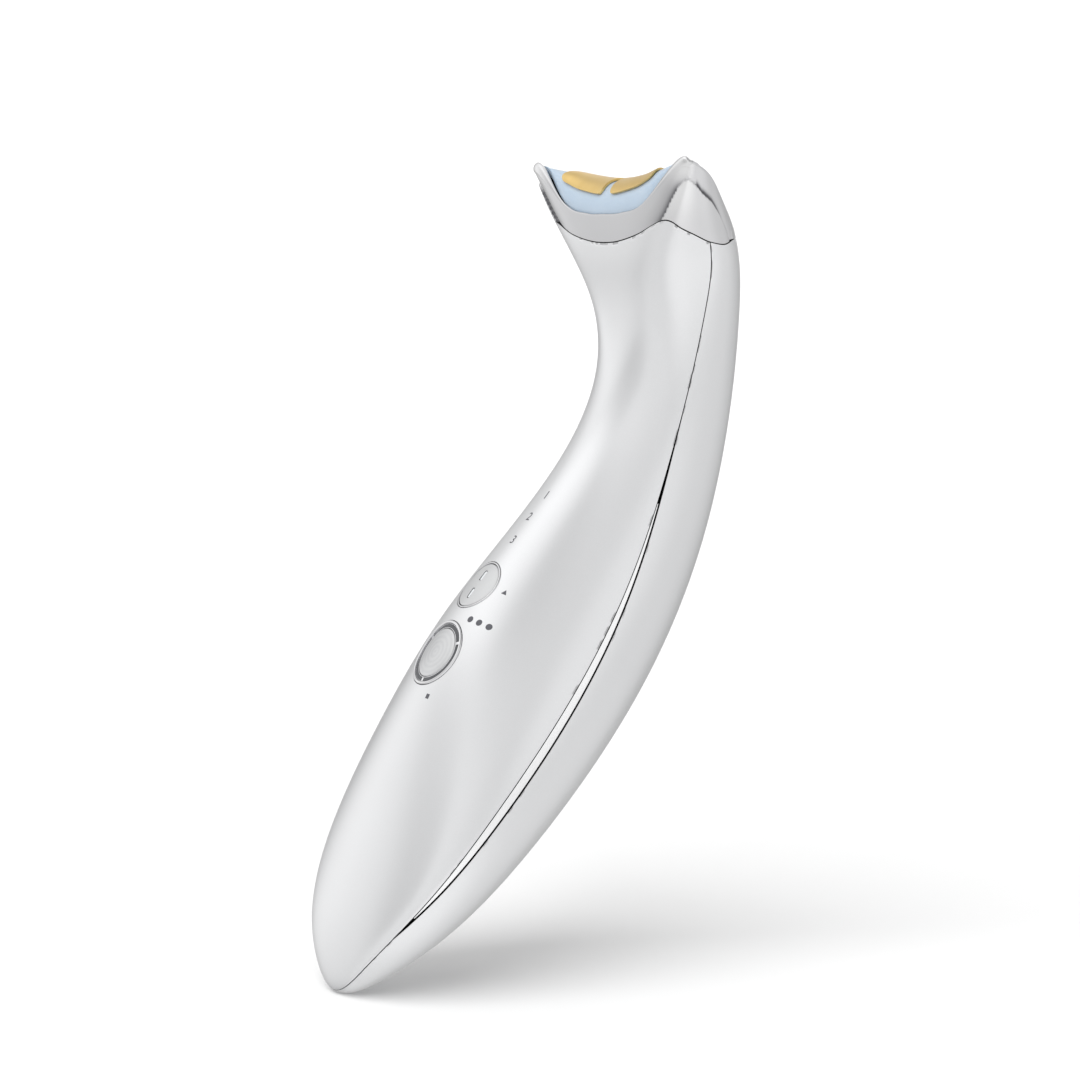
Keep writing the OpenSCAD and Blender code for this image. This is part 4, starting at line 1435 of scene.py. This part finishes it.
@dataclass
class Marks:
    """Plain printed numbers for the three levels, and plain signs beside the buttons."""

    panel: Panel
    paint: Paintbox
    height: float = 1.75
    sign_r: float = 0.62
    lift: float = 0.02
    cap_share: float = 0.7
    numbers: tuple[tuple[str, float, float], ...] = (("1", 0.7, 27.8), ("2", 0.3, 22.8), ("3", 0.7, 17.5))
    signs: tuple[tuple[Sign, float, float], ...] = (
        (Sign.TRIANGLE, 7.3, 7.3), (Sign.DOT, 4.4, 0.4), (Sign.DOT, 6.6, 0.4), (Sign.DOT, 8.8, 0.4),
        (Sign.SQUARE, 4.0, -15.2))

    def number(self, text: str) -> Mesh:
        """Makes a flat number, centred, in millimetres.

        Args:
            text: the number.

        Returns:
            The mesh.
        """
        curve = bpy.data.curves.new(f"mark_{text}_curve", "FONT")
        curve.body = text
        curve.size = self.height / self.cap_share
        curve.align_x = curve.align_y = "CENTER"
        made = bpy.data.objects.new("mark_source", curve)
        bpy.context.scene.collection.objects.link(made)
        bpy.context.view_layer.update()
        mesh = bpy.data.meshes.new_from_object(made.evaluated_get(bpy.context.evaluated_depsgraph_get()))
        bpy.data.objects.remove(made)
        bm = bmesh.new()
        bm.from_mesh(mesh)
        return bm

    def sign(self, kind: Sign) -> Mesh:
        """Makes a flat sign, centred, in millimetres.

        Args:
            kind: the sign.

        Returns:
            The mesh.
        """
        bm = bmesh.new()
        bmesh.ops.create_circle(bm, cap_ends=True, segments=kind.value, radius=self.sign_r)
        if kind is Sign.SQUARE:
            bmesh.ops.rotate(bm, verts=bm.verts, matrix=Matrix.Rotation(math.pi / 4, 3, "Z"))
        return bm

    def print_on(self, bm: Mesh, name: str, x: float, y: float) -> None:
        """Lays a flat mark on the skin and dresses it.

        Args:
            bm: the mark, which is freed.
            name: the piece's name.
            x: its place across the panel, in millimetres.
            y: its place up the panel.
        """
        bmesh.ops.triangulate(bm, faces=bm.faces)
        bmesh.ops.subdivide_edges(bm, edges=bm.edges, cuts=1, use_grid_fill=True)
        for v in bm.verts:
            px, py = v.co.x + x, v.co.y + y
            v.co = self.panel.put(px, py, self.panel.height(px, py) + self.lift) * MM
        self.paint.dress(as_object(bm, name), GREY_INK, "handle", "front_shell")

    def build(self) -> None:
        """Builds and dresses the marks."""
        for text, x, y in self.numbers:
            self.print_on(self.number(text), f"level_mark_{text}", x, y)
        for k, (kind, x, y) in enumerate(self.signs):
            self.print_on(self.sign(kind), f"plain_sign_{k + 1}", x, y)


@dataclass
class InnerPieces:
    """Solids that keep their own shape and get a finish."""

    paint: Paintbox
    finishes: dict[str, Finish] = field(default_factory=lambda: {
        "electrode_carrier": IVORY_MOULDING, "temperature_sensor": PLATED_STEEL,
        "head_light_board": GREEN_BOARD, "power_stem": WHITE_STEM, "power_switch": BLACK_MOULDING,
        "mode_stem": WHITE_STEM, "mode_switch": BLACK_MOULDING, "main_board": GREEN_BOARD,
        "board_screws": PLATED_STEEL, "board_chips": BLACK_MOULDING, "rf_transformer": COPPER_WINDING,
        "battery": SHRINK_SLEEVE, "battery_cradle": IVORY_MOULDING, "charge_socket": BLACK_MOULDING,
        "electrode_leads": RED_LEAD, "battery_leads": BLACK_LEAD, "charge_leads": ORANGE_LEAD})

    def build(self, nodes: dict[str, Piece]) -> None:
        """Dresses the nodes.

        Args:
            nodes: the frame's node objects by name.
        """
        for name, finish in self.finishes.items():
            obj = nodes[name]
            material = self.paint.take(finish)
            if obj.material_slots:
                for place in obj.material_slots:
                    place.material = material
            else:
                obj.data.materials.append(material)
            LOG.info("%s: %s", name, finish.name)


# ---- Studio


@dataclass(frozen=True)
class Glow:
    """A soft patch of light on the studio's dome.

    turn is in degrees to the right of the camera, seen from the device, rise is in degrees
    over the horizon, and the patch fades from its inner radius to its outer one.
    """

    turn: float
    rise: float
    inner: float
    outer: float
    strength: float


@dataclass
class Studio:
    """The floor, the soft lights and the camera."""

    camera_at: tuple[float, float, float] = (0.46703, -0.26817, 0.13206)
    azimuth: float = 60.01
    pitch: float = 5.71
    lens: float = 100.0
    floor_size: tuple[float, float] = (16000.0, 9000.0)
    floor_run: float = 900.0
    floor_bend: float = 2500.0
    least: float = 0.35
    dome: float = 0.819
    zenith: Glow = Glow(0, 90, 5, 50, -0.4)
    glows: tuple[Glow, ...] = (
        Glow(-100, 60, 4, 32, 0.44), Glow(-180, -20, 8, 50, -0.29), Glow(-74, 20, 4, 32, -0.25),
        Glow(-128, -40, 4, 32, -0.31), Glow(45, -50, 8, 50, 0.23), Glow(-120, 0, 4, 32, 0.06),
        Glow(140, 0, 4, 32, -0.18), Glow(-100, 0, 4, 32, -0.11), Glow(-158, 20, 4, 32, -0.43),
        Glow(-128, 40, 12, 75, 0.07), Glow(-180, 20, 4, 32, 0.31), Glow(74, 20, 4, 32, 0.25),
        Glow(77, 40, 12, 75, -0.10), Glow(-137, 20, 4, 32, 0.14))

    def floor(self) -> None:
        """Lays a pale floor that sweeps up far behind the device."""
        def at(s: float, t: float) -> Vector:
            """Returns a point of the sweep: level, then bent up, then upright."""
            x, y, z = (s - 0.5) * self.floor_size[0], (t - 0.4) * self.floor_size[1], 0.0
            past, radius = y - self.floor_run, self.floor_bend
            if past >= 0:
                turn = min(past / radius, math.pi / 2)
                y = self.floor_run + radius * math.sin(turn)
                z = radius * (1 - math.cos(turn)) + max(past - radius * math.pi / 2, 0)
            c, n = cos(self.azimuth), sin(self.azimuth)
            return Vector((x * c - y * n, x * n + y * c, z))

        obj = as_object(patch(8, 120, at), "floor_sweep", 60)
        n = MaterialNodes("pale_floor")
        colour = n.ramp(n.noise(6.0, 2.0), 0.3, 0.7, (0.755, 0.755, 0.755), (0.765, 0.765, 0.765))
        n.feed(n.shader, {"Base Color": colour, "Roughness": 0.9, "Specular IOR Level": 0.1})
        obj.data.materials.append(n.material)
        obj.visible_glossy = False
        obj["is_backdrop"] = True

    def direction(self, turn: float, rise: float) -> Vector:
        """Returns the direction of a place on the dome, seen from the device."""
        a = self.azimuth - 90 + turn
        return Vector((cos(a) * cos(rise), sin(a) * cos(rise), sin(rise)))

    def light_dome(self) -> None:
        """Lights the studio from all round, with softly brighter and darker places."""
        world = bpy.data.worlds.new("studio")
        bpy.context.scene.world = world
        world.use_nodes = True
        n = Nodes(world.node_tree)
        seen = n.add("ShaderNodeTexCoord").outputs["Generated"]
        total: Socket | float = self.dome
        for glow in (self.zenith, *self.glows):
            dot = n.add("ShaderNodeVectorMath", {0: seen, 1: self.direction(glow.turn, glow.rise)},
                        operation="DOT_PRODUCT")
            fade = n.add("ShaderNodeMapRange", {
                "Value": dot.outputs["Value"], "From Min": cos(glow.outer), "From Max": cos(glow.inner),
                "To Max": glow.strength}, interpolation_type="SMOOTHSTEP")
            total = n.add("ShaderNodeMath", {0: fade.outputs[0], 1: total}).outputs[0]
        least = n.add("ShaderNodeMath", {0: total, 1: self.least}, operation="MAXIMUM")
        n.feed(n.tree.nodes["Background"], {0: (1, 1, 1, 1), 1: least.outputs[0]})

    def hang(self, name: str, data: bpy.types.ID, towards: Vector) -> Piece:
        """Puts a light or camera in the scene.

        Args:
            name: the object's name.
            data: the light or camera.
            towards: the direction in which it looks.

        Returns:
            The object.
        """
        obj = bpy.data.objects.new(name, data)
        obj.rotation_mode = "QUATERNION"
        obj.rotation_quaternion = towards.to_track_quat("-Z", "Y")
        bpy.context.scene.collection.objects.link(obj)
        return obj

    def sun(self, name: str, turn: float, rise: float, spread: float, power: float) -> None:
        """Hangs one far, wide light that the gloss doesn't mirror.

        Args:
            name: the light's name.
            turn: degrees to the right of the camera, seen from the device.
            rise: degrees over the horizon.
            spread: how wide the light is, in degrees.
            power: watts a square metre.
        """
        data = bpy.data.lights.new(name, "SUN")
        data.angle = math.radians(spread)
        data.energy = power
        self.hang(name, data, -self.direction(turn, rise)).visible_glossy = False

    def camera(self) -> None:
        """Sets up the camera of the photograph's view."""
        data = bpy.data.cameras.new("camera")
        data.lens, data.sensor_width = self.lens, 36.0
        data.clip_start, data.clip_end = 0.01, 20.0
        obj = self.hang("camera", data, -self.direction(0.0, self.pitch))
        obj.location = self.camera_at
        bpy.context.scene.camera = obj

    def build(self) -> None:
        """Sets up the studio."""
        self.floor()
        self.light_dome()
        self.sun("key_sun", -34.0, 50.0, 60.0, 2.7)
        self.camera()
        bpy.context.scene.view_settings.view_transform = "Standard"
        bpy.context.scene.view_settings.look = "None"


def corners(box: Iterable[Vector]) -> list[list[float]]:
    """Returns a box's two corners as plain lists."""
    return [[float(v) for v in corner] for corner in box]


def main() -> None:
    """Builds every piece round the frame."""
    logging.basicConfig(level=logging.INFO, format="%(message)s")
    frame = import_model()
    solid_box = corners(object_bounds())
    paint = Paintbox()
    Studio().build()
    Shells(FORM, paint).build()
    Head(FORM, paint).build()
    PowerButton(PANEL, paint, -PANEL.spacing / 2).build()
    ModeButton(PANEL, paint, PANEL.spacing / 2).build()
    Marks(PANEL, paint).build()
    InnerPieces(paint).build(frame["nodes"])
    {"cad": solid_box, "visual": corners(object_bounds())}


if __name__ == "__main__":
    main()
